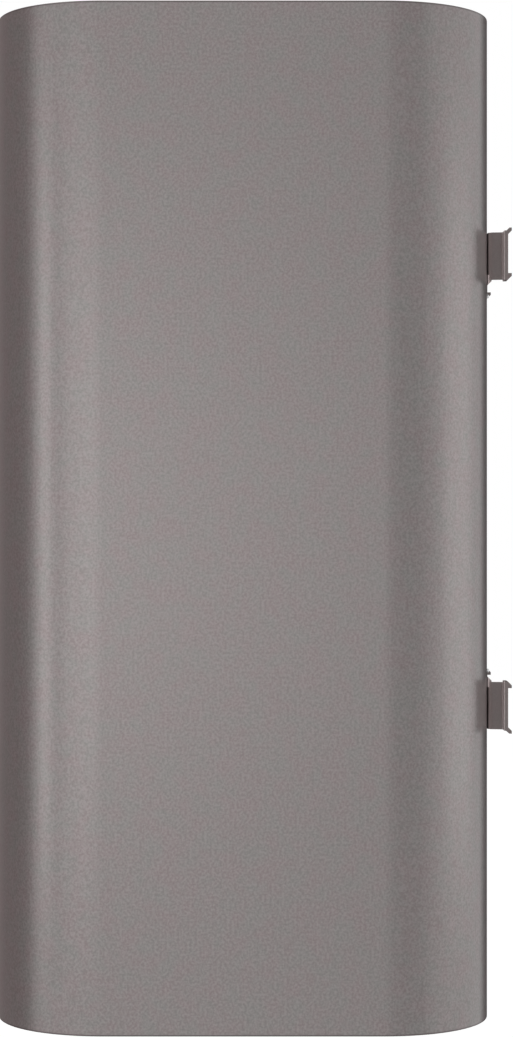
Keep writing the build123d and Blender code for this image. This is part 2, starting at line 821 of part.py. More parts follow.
def knob_shaft():
    """The shaft that the knob sits on, with a flat that the knob grips."""
    shaft = through(Circle(shaft_radius), knob_place, panel_height, shaft_tip(), shaft_end())
    flat = Pos(knob_place, shaft_tip(), panel_height + 1.5 * shaft_radius) * Box(
        2 * shaft_radius, 2 * shaft_engagement, 2 * shaft_radius
    )
    return at_start(shaft - flat)


def at_start(shape):
    """Turns a piece of the knob from upright to where its dial starts."""
    return shape.rotate(Axis((knob_place, 0, panel_height), (0, 1, 0)), -knob_start)


def shaft_tip():
    """The front end of the shaft, inside the knob."""
    return bezel_face - knob_gap - shaft_engagement


def temperature_knob():
    """A round knob with a straight grip across it."""
    back = bezel_face - knob_gap
    front = bezel_face - knob_proud - knob_gap
    base = through(Circle(knob_radius), knob_place, panel_height, back - knob_base, back)
    base = chamfer(base.edges().sort_by(Axis.Y)[0], knob_edge)
    grip_plan = Rectangle(knob_grip_width, 2 * knob_radius) & Circle(knob_radius - knob_edge)
    grip = through(grip_plan, knob_place, panel_height, front, back - knob_base)
    grip = fillet(grip.faces().sort_by(Axis.Y)[0].edges(), knob_edge)
    bore = Circle(shaft_radius + knob_seat_clearance)
    flat = Rectangle(2 * shaft_radius + overrun, 2 * (shaft_radius - knob_seat_clearance))
    bore -= Pos(0, -1.5 * shaft_radius) * flat
    bore_face = shaft_tip() - knob_seat_clearance
    return at_start(base + grip - through(bore, knob_place, panel_height, bore_face, back + overrun))


def push_button(x):
    """A round button cap, held behind the bezel by its flange, with a stem to its switch."""
    face = bezel_face - button_proud
    cap = through(Circle(button_radius), x, panel_height, face, front_face + button_clearance)
    cap = chamfer(cap.edges().sort_by(Axis.Y)[0], button_proud / 2)
    flange_face = front_face + button_clearance
    flange_back = flange_face + button_flange_thickness
    cap += through(Circle(button_radius + button_flange), x, panel_height, flange_face, flange_back)
    stem_end = board_face - switch_height - plunger_height - button_travel - plunger_gap
    return cap + through(Circle(button_stem_radius), x, panel_height, flange_back, stem_end)


def button_switches():
    """The two switches that the buttons press."""
    switches = []
    for x in (power_place, eco_place):
        base_face = board_face - switch_height
        base = through(Rectangle(switch_size, switch_size), x, panel_height, base_face, board_face)
        plunger_face = base_face - plunger_height
        plunger = through(Circle(plunger_radius), x, panel_height, plunger_face, base_face)
        switches.append(base + plunger)
    return switches


def thermal_cutout():
    """The safety cut-out under the hot tank, with its probe up in the pocket."""
    body = Pos((cutout_start + cutout_end) / -2, 0, cutout_low) * Box(
        cutout_length, cutout_width, cutout_height, align=(Align.CENTER, Align.CENTER, Align.MIN)
    )
    body = fillet(body.edges().filter_by(Axis.Z), cutout_edge)
    reset_stop = reset_top() + reset_travel + reset_clearance
    body -= rod(reset_radius + reset_clearance, cutout_low - overrun, reset_stop, -reset_x)
    probe_high = gasket_low + pocket_rise - 2 * pocket_wall - probe_room
    return body + rod(pocket_bore - probe_clearance, cutout_top, probe_high, -pocket_x)


def reset_top():
    """The inner end of the reset button at rest."""
    return cutout_low + reset_entry


def reset_button():
    """The small button that closes the cut-out again."""
    button = rod(reset_radius, cutout_low - reset_proud, reset_top(), -reset_x)
    return chamfer(button.edges().sort_by(Axis.Z)[0], reset_radius / 3)


def temperature_sensor():
    """The sensor that reads the cold tank, with its moulded head under the pocket."""
    head = rod(sensor_head_radius, cutout_top - sensor_head_height, cutout_top, pocket_x)
    head = chamfer(head.edges().sort_by(Axis.Z)[0], sensor_head_radius / 3)
    probe_high = gasket_low + pocket_rise - 2 * pocket_wall - probe_room
    return head + rod(pocket_bore - probe_clearance, cutout_top, probe_high, pocket_x)


def block_place():
    """The middle of the terminal block on the lower cap, between the gland and the hot pipe's ring."""
    x, y = gland_place()
    return x + gland_room + block_length / 2, y


def terminal_block():
    """The block that joins the supply to the heater's own leads."""
    x, y = block_place()
    base = (Align.CENTER, Align.CENTER, Align.MIN)
    block = Pos(x, y, floor_top) * Box(block_length, block_width, block_height, align=base)
    pitch = block_length / block_ports
    for step in range(block_ports):
        place = x - block_length / 2 + pitch * (step + 0.5)
        block -= rod(block_port_radius, floor_top + block_height - block_port_depth, height, place, y)
    return block


def cable_gland():
    """The gland that grips the supply cable, with its locknut inside."""
    x, y = gland_place()
    bore = Circle(gland_bore)
    hexagon = RegularPolygon(gland_nut_flats / 2, 6, major_radius=False)
    flange_face = cap_recess - gland_flange_height
    flange = Pos(x, y, flange_face) * extrude(hexagon - bore, gland_flange_height)
    dome = tube(gland_dome_radius, gland_bore, cap_recess - gland_reach, flange_face, x, y)
    thread_top = floor_top + gland_lock_height + overrun
    thread = tube(gland_thread_radius, gland_bore, cap_recess, thread_top, x, y)
    lock_plan = hexagon - Circle(gland_thread_radius + seat_clearance)
    lock = Pos(x, y, floor_top) * extrude(lock_plan, gland_lock_height)
    return [flange + dome + thread, lock]


def element_leads():
    """The leads from the terminal block to the cut-out, and from there to both elements."""
    block_x, block_y = block_place()
    port_bottom = floor_top + block_height - block_port_depth
    crest = floor_top + block_height + 2 * lead_bend
    middle = cutout_low + cutout_height / 2
    exit_level = cutout_low + 2 * lead_radius
    sag = cutout_low - lead_sag
    side = cutout_width / 2
    pin_y = element_pitch / 2
    hot_x = -tank_offset
    leads = []
    for step in (1, 2):
        x = block_x - block_length / 2 + block_length / block_ports * (step + 0.5)
        end = step * lead_spacing - cutout_start
        rise = [(x, block_y, port_bottom), (x, block_y, crest), (x, side + 3 * lead_bend, crest)]
        leads.append(rise + [(end, side + 2 * lead_bend, middle), (end, side, middle)])
    for y in (-1, 1):
        start = (-cutout_end, y * side / 2, middle)
        shoulder = (-cutout_end + 3 * lead_bend, y * side / 2, middle)
        leads.append([start, shoulder, (tank_offset, y * pin_y, sag), (tank_offset, y * pin_y, pin_low)])
        near = lead_spacing / 2 - cutout_start
        start = (near, y * side, exit_level)
        shoulder = (near, y * (side + 2 * lead_bend), exit_level)
        fall = [(hot_x, y * (pin_y + lead_bend), sag), (hot_x, y * pin_y, sag), (hot_x, y * pin_y, pin_low)]
        leads.append([start, shoulder] + fall)
    return [wire_run(lead_radius, lead_bend / 2, points) for points in leads]


def ribbon_points():
    """The way of the display's cable, down through the foam to the cut-out."""
    y = (board_back + box_back - box_wall) / 2
    low = (bay_height + cutout_low) / 2
    level = cutout_low + cutout_height / 2
    end = -(cutout_start + cutout_end) / 2
    return [
        (ribbon_inset - bezel_width / 2, y, panel_height - bezel_height / 2 + 2 * box_wall),
        (ribbon_inset - bezel_width / 2, y, low),
        (end, -cutout_width / 2 - 2 * ribbon_bend, level),
        (end, -cutout_width / 2, level),
    ]


def display_cable():
    """The cable between the control board and the cut-out."""
    return wire_run(ribbon_radius, ribbon_bend, ribbon_points())


def all_pieces():
    """Every piece under its own name."""
    pieces = {
        "outer_shell": outer_shell(),
        "top_cap": top_cap(),
        "bottom_cap": bottom_cap(),
        "service_cover": service_cover(),
        "service_cover_screws": cover_screws(),
        "foam_insulation": foam_block(),
        "upper_wall_bracket": wall_bracket(upper_level, True),
        "lower_wall_bracket": wall_bracket(lower_level, False),
        "bracket_studs": bracket_studs(),
        "bracket_nuts": bracket_nuts(),
        "casing_rivets": casing_rivets(),
        "crossover_pipe": crossover_pipe(),
        "dip_tube": dip_tube(),
        "control_bezel": control_bezel(),
        "display_lens": display_lens(),
        "display_module": display_module(),
        "control_box": control_box(),
        "control_board": control_board(),
        "potentiometer": potentiometer(),
        "knob_shaft": knob_shaft(),
        "temperature_knob": temperature_knob(),
        "power_button": push_button(power_place),
        "eco_button": push_button(eco_place),
        "button_switches": button_switches(),
        "thermal_cutout": thermal_cutout(),
        "reset_button": reset_button(),
        "temperature_sensor": temperature_sensor(),
        "terminal_block": terminal_block(),
        "cable_gland": cable_gland(),
        "element_leads": element_leads(),
        "display_cable": display_cable(),
    }
    for name, shape in (tank_pieces() | flange_pieces()).items():
        for side in ("right", "left"):
            solids = shape if isinstance(shape, list) else [shape]
            pieces[f"{side}_{name}"] = [both_sides(solid)[side] for solid in solids]
    nipple, nipple_high = nipples()
    pieces["cold_nipple"] = nipple
    pieces["hot_nipple"] = mirror(nipple, Plane.YZ)
    pieces["nipple_liners"] = list(both_sides(nipple_liners()).values())
    pieces["cold_ring"] = marker_ring()
    pieces["hot_ring"] = mirror(marker_ring(), Plane.YZ)
    pieces["hot_standpipe"] = hot_standpipe(nipple_high)
    pieces["cold_diffuser"] = cold_diffuser(nipple_high)
    return pieces


def save_pieces():
    """Writes each piece, moved so that the hook slots' centre is the origin."""
    os.makedirs("parts", exist_ok=True)
    for name, shape in all_pieces().items():
        solids = shape if isinstance(shape, list) else [shape]
        moved = [Pos(0, -slot_face, -slot_level) * solid for solid in solids]
        export_step(moved[0] if len(moved) == 1 else Compound(children=moved), f"parts/{name}.step")


save_pieces()
print("casing", width, "wide, slots", upper_level - lower_level, "apart, origin", slot_face, slot_level)
print("tank volume in litres, both:", 2 * tank_space(-tank_wall).volume / 1e6)
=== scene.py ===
import json
import logging
import math
from dataclasses import dataclass
from enum import Enum
from typing import Any, Optional, Union

import bmesh
import bpy
from mathutils import Matrix, Vector


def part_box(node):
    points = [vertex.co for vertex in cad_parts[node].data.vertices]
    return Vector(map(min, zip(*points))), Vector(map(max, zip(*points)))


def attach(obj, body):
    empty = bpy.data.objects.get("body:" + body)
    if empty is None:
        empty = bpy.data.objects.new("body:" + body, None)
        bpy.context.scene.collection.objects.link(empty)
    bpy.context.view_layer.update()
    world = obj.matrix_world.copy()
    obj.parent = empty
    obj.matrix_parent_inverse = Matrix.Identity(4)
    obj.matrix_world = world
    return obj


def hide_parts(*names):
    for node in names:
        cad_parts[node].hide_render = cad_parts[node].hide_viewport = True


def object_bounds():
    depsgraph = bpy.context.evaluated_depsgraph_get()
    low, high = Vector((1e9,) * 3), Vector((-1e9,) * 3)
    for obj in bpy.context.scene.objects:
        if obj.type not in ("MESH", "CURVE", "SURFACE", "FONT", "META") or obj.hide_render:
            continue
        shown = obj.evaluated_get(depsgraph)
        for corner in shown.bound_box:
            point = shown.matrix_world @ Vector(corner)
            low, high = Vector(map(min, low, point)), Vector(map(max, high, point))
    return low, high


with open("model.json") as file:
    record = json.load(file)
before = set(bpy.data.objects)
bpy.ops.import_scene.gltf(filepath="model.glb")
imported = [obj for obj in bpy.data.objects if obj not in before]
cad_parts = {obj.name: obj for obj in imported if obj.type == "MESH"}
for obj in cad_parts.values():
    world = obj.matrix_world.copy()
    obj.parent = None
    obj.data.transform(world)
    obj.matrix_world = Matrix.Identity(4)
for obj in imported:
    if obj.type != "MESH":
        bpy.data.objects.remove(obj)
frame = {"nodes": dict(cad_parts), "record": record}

LOG = logging.getLogger("water_heater")
CAD_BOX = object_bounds()
SAME_PLACE = 1e-7
RIGHT_WAY = 0.999
SAME_LEVEL = 1e-6
SHARP_TURN = 32.0
ROUND_STEPS = 32
ORIGIN = (0, 0, 0)
UP = (0, 0, 1)

Colour = tuple[float, float, float]
Value = Union["Field", float, int]


class Body(Enum):
    """The bodies of the heater that the scene's own pieces ride on."""

    HEATER = "heater"
    KNOB = "knob"
    POWER_KEY = "power_key"
    ECO_KEY = "eco_key"


class Grain(Enum):
    """The kinds of fine pattern that a surface can have."""

    MOULDED = "the etched skin of a plastic moulding"
    BRUSHED = "fine lines along one direction"
    ZINC = "the patches of zinc plating"
    CELLS = "the cells of hard foam"
    TRACES = "copper traces under green lacquer"
    SMOOTH = "a polished surface with faint dust"


# the part of each grain's noise that is spread over a finish's two colours
SPREADS = {
    Grain.MOULDED: (0.35, 0.65),
    Grain.BRUSHED: (0.3, 0.7),
    Grain.ZINC: (0.3, 1.1),
    Grain.CELLS: (0.2, 0.95),
    Grain.SMOOTH: (0.35, 0.75),
}


class Field:
    """A socket of a material's nodes. Python's operators on it add Math nodes."""

    def __init__(self, shader: "Shader", socket: bpy.types.NodeSocket) -> None:
        """Holds a socket together with the shader that it belongs to."""
        self.shader = shader
        self.socket = socket

    def joined(self, operation: str, first: Value, second: Value) -> "Field":
        """Adds one Math node.

        Args:
            operation: The Math node's operation.
            first: Its first value.
            second: Its second value.

        Returns:
            The node's result.
        """
        return self.shader.node("ShaderNodeMath", {"operation": operation}, {0: first, 1: second})

    def __add__(self, other: Value) -> "Field":
        """Adds a value."""
        return self.joined("ADD", self, other)

    def __radd__(self, other: Value) -> "Field":
        """Is added to a value."""
        return self.joined("ADD", other, self)

    def __sub__(self, other: Value) -> "Field":
        """Takes a value away."""
        return self.joined("SUBTRACT", self, other)

    def __rsub__(self, other: Value) -> "Field":
        """Is taken away from a value."""
        return self.joined("SUBTRACT", other, self)

    def __mul__(self, other: Value) -> "Field":
        """Multiplies by a value."""
        return self.joined("MULTIPLY", self, other)

    def __rmul__(self, other: Value) -> "Field":
        """Multiplies a value."""
        return self.joined("MULTIPLY", other, self)

    def away(self, middle: float) -> "Field":
        """How far the field is from a value, on either side."""
        return self.joined("ABSOLUTE", self - middle, 0.0)

    def over(self, limit: float) -> "Field":
        """Is 1 where the field is larger than a limit, and else 0."""
        return self.joined("GREATER_THAN", self, limit)

    def most(self, other: Value) -> "Field":
        """Takes the larger of two values."""
        return self.joined("MAXIMUM", self, other)


class Shader:
    """The node tree of one material or of the world."""

    def __init__(self, tree: bpy.types.NodeTree) -> None:
        """Empties the tree."""
        self.tree = tree
        tree.nodes.clear()

    def node(
        self, kind: str, settings: Optional[dict] = None, sockets: Optional[dict] = None, output: int = 0
    ) -> Optional[Field]:
        """Adds a node: first its settings, then the values and links of its sockets.

        Args:
            kind: The node's type.
            settings: Its settings by name.
            sockets: Values or fields by socket name or number.
            output: The number of the output that is wanted.

        Returns:
            The output as a field, or None for a node without outputs.
        """
        made = self.tree.nodes.new(kind)
        for name, value in (settings or {}).items():
            setattr(made, name, value)
        for key, value in (sockets or {}).items():
            if isinstance(value, Field):
                self.tree.links.new(value.socket, made.inputs[key])
            else:
                made.inputs[key].default_value = value
        return Field(self, made.outputs[output]) if len(made.outputs) else None

    def place(self, stretch: Colour = (1.0, 1.0, 1.0)) -> Field:
        """The point on the object in metres, stretched along its axes."""
        point = self.node("ShaderNodeTexCoord", output=3)
        return self.node("ShaderNodeMapping", None, {"Vector": point, "Scale": stretch})

    def along(self, axis: int) -> Field:
        """The place on the object along one of its axes in metres."""
        return self.node("ShaderNodeSeparateXYZ", None, {0: self.place()}, axis)

    def noise(self, point: Field, size: float, detail: float = 2.0, roughness: float = 0.5) -> Field:
        """Soft noise.

        Args:
            point: Where it is read.
            size: The size of its features in metres.
            detail: How many finer layers it has.
            roughness: How strong the finer layers are.

        Returns:
            A field from 0 to 1, mostly near a half.
        """
        values = {"Vector": point, "Scale": 1.0 / size, "Detail": detail, "Roughness": roughness}
        return self.node("ShaderNodeTexNoise", None, values)

    def cells(self, point: Field, size: float) -> Field:
        """Round cells: how far each point is from the middle of its cell."""
        return self.node("ShaderNodeTexVoronoi", None, {"Vector": point, "Scale": 1.0 / size})

    def ramp(self, field: Field, low: float, high: float) -> Field:
        """Spreads the part of a field between two values over 0 to 1."""
        limits = {"Value": field, "From Min": low, "From Max": high}
        return self.node("ShaderNodeMapRange", None, limits)

    def mix(self, share: Value, first: Union[Colour, Field], second: Union[Colour, Field]) -> Field:
        """A colour between two colours."""
        colours = {key: c if isinstance(c, Field) else rgba(c) for key, c in ((6, first), (7, second))}
        return self.node("ShaderNodeMix", {"data_type": "RGBA"}, {0: share, **colours}, 2)

    def bump(self, height: Field, depth: float) -> Field:
        """A normal that shows a relief.

        Args:
            height: The relief, from 0 to 1.
            depth: Its depth in metres.

        Returns:
            The bent normal.
        """
        return self.node("ShaderNodeBump", None, {"Strength": 1.0, "Distance": depth, "Height": height})

    def shown(self, surface: Field) -> None:
        """Makes a surface the one that the material shows."""
        self.node("ShaderNodeOutputMaterial", None, {"Surface": surface})


def new_material(name: str) -> tuple[bpy.types.Material, Shader]:
    """Makes an empty material and the shader of its nodes.

    Args:
        name: The material's name.

    Returns:
        The material and its shader.
    """
    made = bpy.data.materials.new(name)
    made.use_nodes = True
    return made, Shader(made.node_tree)


def rgba(colour: Colour) -> tuple[float, float, float, float]:
    """A colour with full alpha."""
    return (*colour[:3], 1.0)


@dataclass(frozen=True)
class Finish:
    """A surface finish, named after the record's material slot."""

    slot: str
    colour: Colour
    second: Colour
    metallic: float = 0.0
    roughness: float = 0.5
    swing: float = 0.06
    grain: Grain = Grain.MOULDED
    size: float = 0.0008
    depth: float = 0.00002
    coat: float = 0.0
    coat_roughness: float = 0.12
    clear: float = 0.0
    glow: float = 0.0
    stretch: Colour = (1.0, 1.0, 1.0)
    broad_times: float = 40.0
    fine_share: float = 0.6
    cell_wander: float = 0.3
    patch_times: float = 3.0
    patch_wander: float = 0.5
    trace_times: float = 6.0
    trace_stretch: Colour = (1.0, 1.0, 14.0)

    def pattern(self, shader: Shader) -> tuple[Field, Field]:
        """The fine pattern of the finish.

        Args:
            shader: The material's nodes.

        Returns:
            The share of the second colour, and the relief.
        """
        if self.grain is Grain.TRACES:
            point = shader.place(self.trace_stretch)
            traces = shader.noise(point, self.size * self.trace_times, detail=0.0).over(0.5)
            return traces, traces
        point = shader.place(self.stretch)
        fine = shader.noise(point, self.size, detail=3.0, roughness=0.6)
        broad = shader.noise(point, self.size * self.broad_times)
        share, relief = fine, fine
        if self.grain is Grain.CELLS:
            relief = shader.cells(point, self.size)
            share = relief + fine * self.cell_wander
        elif self.grain is Grain.ZINC:
            share = shader.cells(point, self.size * self.patch_times) + fine * self.patch_wander
        elif self.grain is Grain.SMOOTH:
            share, relief = broad, broad
        elif self.grain is Grain.MOULDED:
            share = fine * self.fine_share + broad * (1.0 - self.fine_share)
        return shader.ramp(share, *SPREADS[self.grain]), relief

    def surface(self, shader: Shader) -> tuple[Field, Field, Field]:
        """What changes over the surface.

        Args:
            shader: The material's nodes.

        Returns:
            The base colour, what the roughness follows, and the normal.
        """
        share, relief = self.pattern(shader)
        return shader.mix(share, self.colour, self.second), share, shader.bump(relief, self.depth)

    def shading(self, shader: Shader) -> dict[str, Any]:
        """The values and links of the Principled shader.

        Args:
            shader: The material's nodes.

        Returns:
            Sockets by name.
        """
        base, share, normal = self.surface(shader)
        sockets = {
            "Base Color": base,
            "Metallic": self.metallic,
            "Roughness": share * self.swing + (self.roughness - self.swing / 2),
            "Coat Weight": self.coat,
            "Coat Roughness": self.coat_roughness,
            "Transmission Weight": self.clear,
            "Normal": normal,
        }
        if self.glow:
            sockets["Emission Color"] = base
            sockets["Emission Strength"] = self.glow
        return sockets

    def material(self) -> bpy.types.Material:
        """Makes the material of the finish.

        Returns:
            The material, named after its slot.
        """
        made, shader = new_material(self.slot)
        shader.shown(shader.node("ShaderNodeBsdfPrincipled", None, self.shading(shader)))
        return made


@dataclass(frozen=True)
class FlakePaint(Finish):
    """Metallic paint: flakes of two tints in a clear lacquer with a faint orange peel."""

    warm: Colour = (0.219, 0.17, 0.17)
    cool: Colour = (0.187, 0.193, 0.179)
    flake_size: float = 0.0013
    mottle_size: float = 0.011
    mottle_share: float = 0.5
    mottle_spread: tuple[float, float] = (0.35, 0.65)
    flake_spread: tuple[float, float] = (0.36, 0.64)
    flake_share: float = 0.5
    peel_size: float = 0.0016
    peel_depth: float = 0.00006

    def surface(self, shader: Shader) -> tuple[Field, Field, Field]:
        """The paint with its flakes, mottling and orange peel.

        Args:
            shader: The material's nodes.

        Returns:
            The base colour, what the roughness follows, and the normal.
        """
        point = shader.place()
        flakes = shader.noise(point, self.flake_size, roughness=0.65)
        mottle = shader.noise(point, self.mottle_size, roughness=0.6)
        peel = shader.noise(point, self.peel_size, detail=1.0)
        tint = shader.mix(shader.ramp(mottle, *self.mottle_spread), self.warm, self.cool)
        body = shader.mix(self.mottle_share, self.colour, tint)
        bright = shader.mix(self.flake_share, body, self.second)
        base = shader.mix(shader.ramp(flakes, *self.flake_spread), body, bright)
        return base, flakes, shader.bump(flakes * 0.5 + peel * 0.5, self.peel_depth)


@dataclass(frozen=True)
class CasingPaint(FlakePaint):
    """The casing's paint, darker on the folded rims as painted shade, and paler in the gaps beside the
    brackets' legs as painted light.
    """

    # painted shade: the colour of a thin dark line along the folded rims, where the fold turns in
    rim_shade_colour: Colour = (0.12, 0.1, 0.1)
    rim_shade_width: float = 0.0006
    # painted light: a paler colour on the back corner beside each bracket, standing in for light that the
    # bracket's dark reflection and shade take away
    gap_light_colour: Colour = (0.42, 0.375, 0.37)
    gap_start: float = 0.0075
    gap_full: float = 0.0025
    gap_end: float = 0.0012
    gap_blend: float = 0.006

    def surface(self, shader: Shader) -> tuple[Field, Field, Field]:
        """The paint with its painted shade on the rims and its painted light in the gaps beside the
        brackets.

        Args:
            shader: The material's nodes.

        Returns:
            The base colour, what the roughness follows, and the normal.
        """
        base, flakes, normal = super().surface(shader)
        low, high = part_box("outer_shell")
        height, half = shader.along(2), (high.z - low.z) / 2
        away = height.away((high.z + low.z) / 2)
        # painted shade: a thin dark line along the top and bottom rims, where the fold turns in
        rim = shader.ramp(away, half - 2 * self.rim_shade_width, half - self.rim_shade_width)
        base = shader.mix(rim, base, self.rim_shade_colour)
        # painted light: a soft paler patch on the back corner beside each bracket's leg, a painted
        # highlight over the bracket's dark reflection
        for bracket in ("upper_wall_bracket", "lower_wall_bracket"):
            foot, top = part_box(bracket)
            reach = (top.z - foot.z) / 2
            gap = shader.ramp(shader.along(1), foot.y - self.gap_start, foot.y - self.gap_full)
            gap = gap * shader.ramp(shader.along(1), foot.y, foot.y - self.gap_end)
            near = height.away((top.z + foot.z) / 2)
            gap = gap * shader.ramp(near, reach, reach - self.gap_blend)
            base = shader.mix(gap, base, self.gap_light_colour)
        return base, flakes, normal


@dataclass(frozen=True)
class BracketPaint(FlakePaint):
    """The brackets' paint, paler in the two bends of a leg: painted light at the root, where the casing
    shades it, and a painted highlight at the bend to the brim.
    """

    # painted light: paler paint at the leg's root beside the casing, where shade falls
    root_fill_light_colour: Colour = (0.82, 0.69, 0.68)
    root_reach: float = 0.0032
    root_inset: float = 0.0122
    root_blend: float = 0.001
    # painted highlight: the colour of a pale line along the bend between the leg and the brim
    bend_highlight_colour: Colour = (0.75, 0.66, 0.65)
    bend_start: float = 0.0068
    bend_full: float = 0.0079
    bend_end: float = 0.0081

    def surface(self, shader: Shader) -> tuple[Field, Field, Field]:
        """The paint with its painted light at each leg's root and bend.

        Args:
            shader: The material's nodes.

        Returns:
            The base colour, what the roughness follows, and the normal.
        """
        base, flakes, normal = super().surface(shader)
        low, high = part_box("upper_wall_bracket")
        depth, side = shader.along(1) - low.y, shader.along(0).away(0.0)
        crown_end = high.x - self.root_inset
        # painted light: the leg's root next to the casing is lightened to stand in for the light that the
        # casing's corner shades off
        root = shader.ramp(depth, self.root_reach, 0.0)
        root = root * root * shader.ramp(side, crown_end, crown_end + self.root_blend)
        # painted highlight: a pale band along the bend between the leg and the brim
        bend_highlight = shader.ramp(depth, self.bend_start, self.bend_full)
        bend_highlight = bend_highlight * bend_highlight * shader.ramp(depth, self.bend_end, self.bend_full)
        base = shader.mix(bend_highlight, shader.mix(root, base, self.root_fill_light_colour), self.bend_highlight_colour)
        return base, flakes, normal


FINISHES = [
    CasingPaint("casing_paint", (0.203, 0.181, 0.181), (0.327, 0.297, 0.297), 0.58, 0.3),
    BracketPaint(
        "bracket_paint", (0.166, 0.136, 0.133), (0.2, 0.165, 0.162), 0.1, 0.42, 0.08,
        warm=(0.172, 0.135, 0.131), cool=(0.155, 0.14, 0.132),
    ),
    Finish(
        "cap_plastic", (0.22, 0.197, 0.196), (0.25, 0.225, 0.223), 0.0, 0.5, size=0.0006, depth=0.00004
    ),
    Finish("zinc_steel", (0.6, 0.6, 0.58), (0.5, 0.51, 0.53), 1.0, 0.34, 0.12, Grain.ZINC, 0.0012),
    Finish(
        "tank_steel", (0.05, 0.08, 0.15), (0.035, 0.06, 0.12), 0.0, 0.2, 0.1, Grain.SMOOTH, 0.002,
        coat=0.5,
    ),
    Finish(
        "pipe_steel", (0.56, 0.57, 0.58), (0.44, 0.45, 0.46), 1.0, 0.32, 0.14, Grain.BRUSHED, 0.0006,
        stretch=(1.0, 1.0, 8.0),
    ),
    Finish("liner_plastic", (0.82, 0.82, 0.79), (0.76, 0.76, 0.72), 0.0, 0.42, size=0.0012),
    Finish("cold_blue", (0.02, 0.1, 0.48), (0.015, 0.085, 0.42), 0.0, 0.4, size=0.0007),
    Finish("hot_red", (0.5, 0.025, 0.022), (0.43, 0.02, 0.02), 0.0, 0.4, size=0.0007),
    Finish(
        "foam", (0.78, 0.64, 0.34), (0.66, 0.5, 0.22), 0.0, 0.9, 0.05, Grain.CELLS, 0.0022, 0.0004
    ),
    Finish("gasket_rubber", (0.025, 0.025, 0.026), (0.04, 0.04, 0.04), 0.0, 0.75, size=0.0008),
    Finish(
        "element_sheath", (0.6, 0.32, 0.19), (0.42, 0.2, 0.11), 1.0, 0.35, 0.16, Grain.BRUSHED, 0.0009,
        stretch=(1.0, 1.0, 0.2),
    ),
    Finish(
        "anode_metal", (0.58, 0.58, 0.57), (0.44, 0.44, 0.44), 0.7, 0.62, 0.1, Grain.ZINC, 0.002, 0.0001
    ),
    Finish(
        "panel_plastic", (0.014, 0.014, 0.016), (0.02, 0.02, 0.022), 0.0, 0.14, 0.05, Grain.SMOOTH, 0.001,
        0.000004, coat=0.6, coat_roughness=0.06,
    ),
    Finish("knob_plastic", (0.1, 0.096, 0.096), (0.13, 0.124, 0.124), 0.0, 0.42, size=0.0005),
    Finish("box_plastic", (0.08, 0.08, 0.082), (0.1, 0.1, 0.102), 0.0, 0.55, size=0.0008),
    Finish(
        "board", (0.012, 0.13, 0.045), (0.03, 0.22, 0.08), 0.0, 0.3, 0.08, Grain.TRACES, 0.0009, 0.00003
    ),
    Finish("display", (0.012, 0.012, 0.013), (0.018, 0.018, 0.02), 0.0, 0.3, 0.05, Grain.SMOOTH),
    Finish(
        "shaft_metal", (0.68, 0.68, 0.69), (0.56, 0.56, 0.57), 1.0, 0.28, 0.1, Grain.BRUSHED, 0.0004,
        stretch=(8.0, 1.0, 8.0),
    ),
    Finish("reset_plastic", (0.55, 0.04, 0.025), (0.48, 0.035, 0.02), 0.0, 0.4, size=0.0005),
    Finish("terminal_plastic", (0.78, 0.78, 0.74), (0.7, 0.7, 0.66), 0.0, 0.45, size=0.0008),
    Finish("lead_insulation", (0.07, 0.07, 0.072), (0.1, 0.1, 0.1), 0.0, 0.48, size=0.0006),
]

LENS = Finish(
    "display_lens", (0.3, 0.3, 0.31), (0.26, 0.26, 0.27), 0.0, 0.06, 0.03, Grain.SMOOTH, 0.002, 0.000003,
    clear=0.92,
)
PRINT = Finish("panel_print", (0.62, 0.62, 0.6), (0.56, 0.56, 0.54), 0.0, 0.5, size=0.0004)
DIGITS = Finish("digit_light", (0.9, 0.93, 0.96), (0.75, 0.8, 0.86), 0.0, 0.5, size=0.0006, glow=2.2)
LEAF = Finish("leaf_print", (0.12, 0.42, 0.12), (0.1, 0.36, 0.1), 0.0, 0.5, size=0.0004)


class Wardrobe:
    """Makes each material once and dresses the carried-over nodes."""

    def __init__(self) -> None:
        """Starts with no material made."""
        self.made: dict[str, bpy.types.Material] = {}
        self.finishes = {finish.slot: finish for finish in FINISHES}

    def of(self, finish: Union[str, Finish]) -> bpy.types.Material:
        """The material of a finish or of a slot's finish.

        Args:
            finish: The finish, or the name of its slot.

        Returns:
            The material, made when it is first asked for.
        """
        chosen = self.finishes[finish] if isinstance(finish, str) else finish
        if chosen.slot not in self.made:
            self.made[chosen.slot] = chosen.material()
        return self.made[chosen.slot]

    def dress(self, node: bpy.types.Object, material: bpy.types.Material) -> None:
        """Gives every material slot of a node the same material.

        Args:
            node: The node that is dressed.
            material: The material that it gets.
        """
        if not node.material_slots:
            node.data.materials.append(material)
        for holder in node.material_slots:
            holder.material = material

    def dress_all(self) -> None:
        """Dresses every carried-over node in its slot's finish."""
        for row in frame["record"]["subparts"]:
            self.dress(frame["nodes"][row["node"]], self.of(row["material_slot"]))
            LOG.info("dressed %s in %s", row["node"], row["material_slot"])


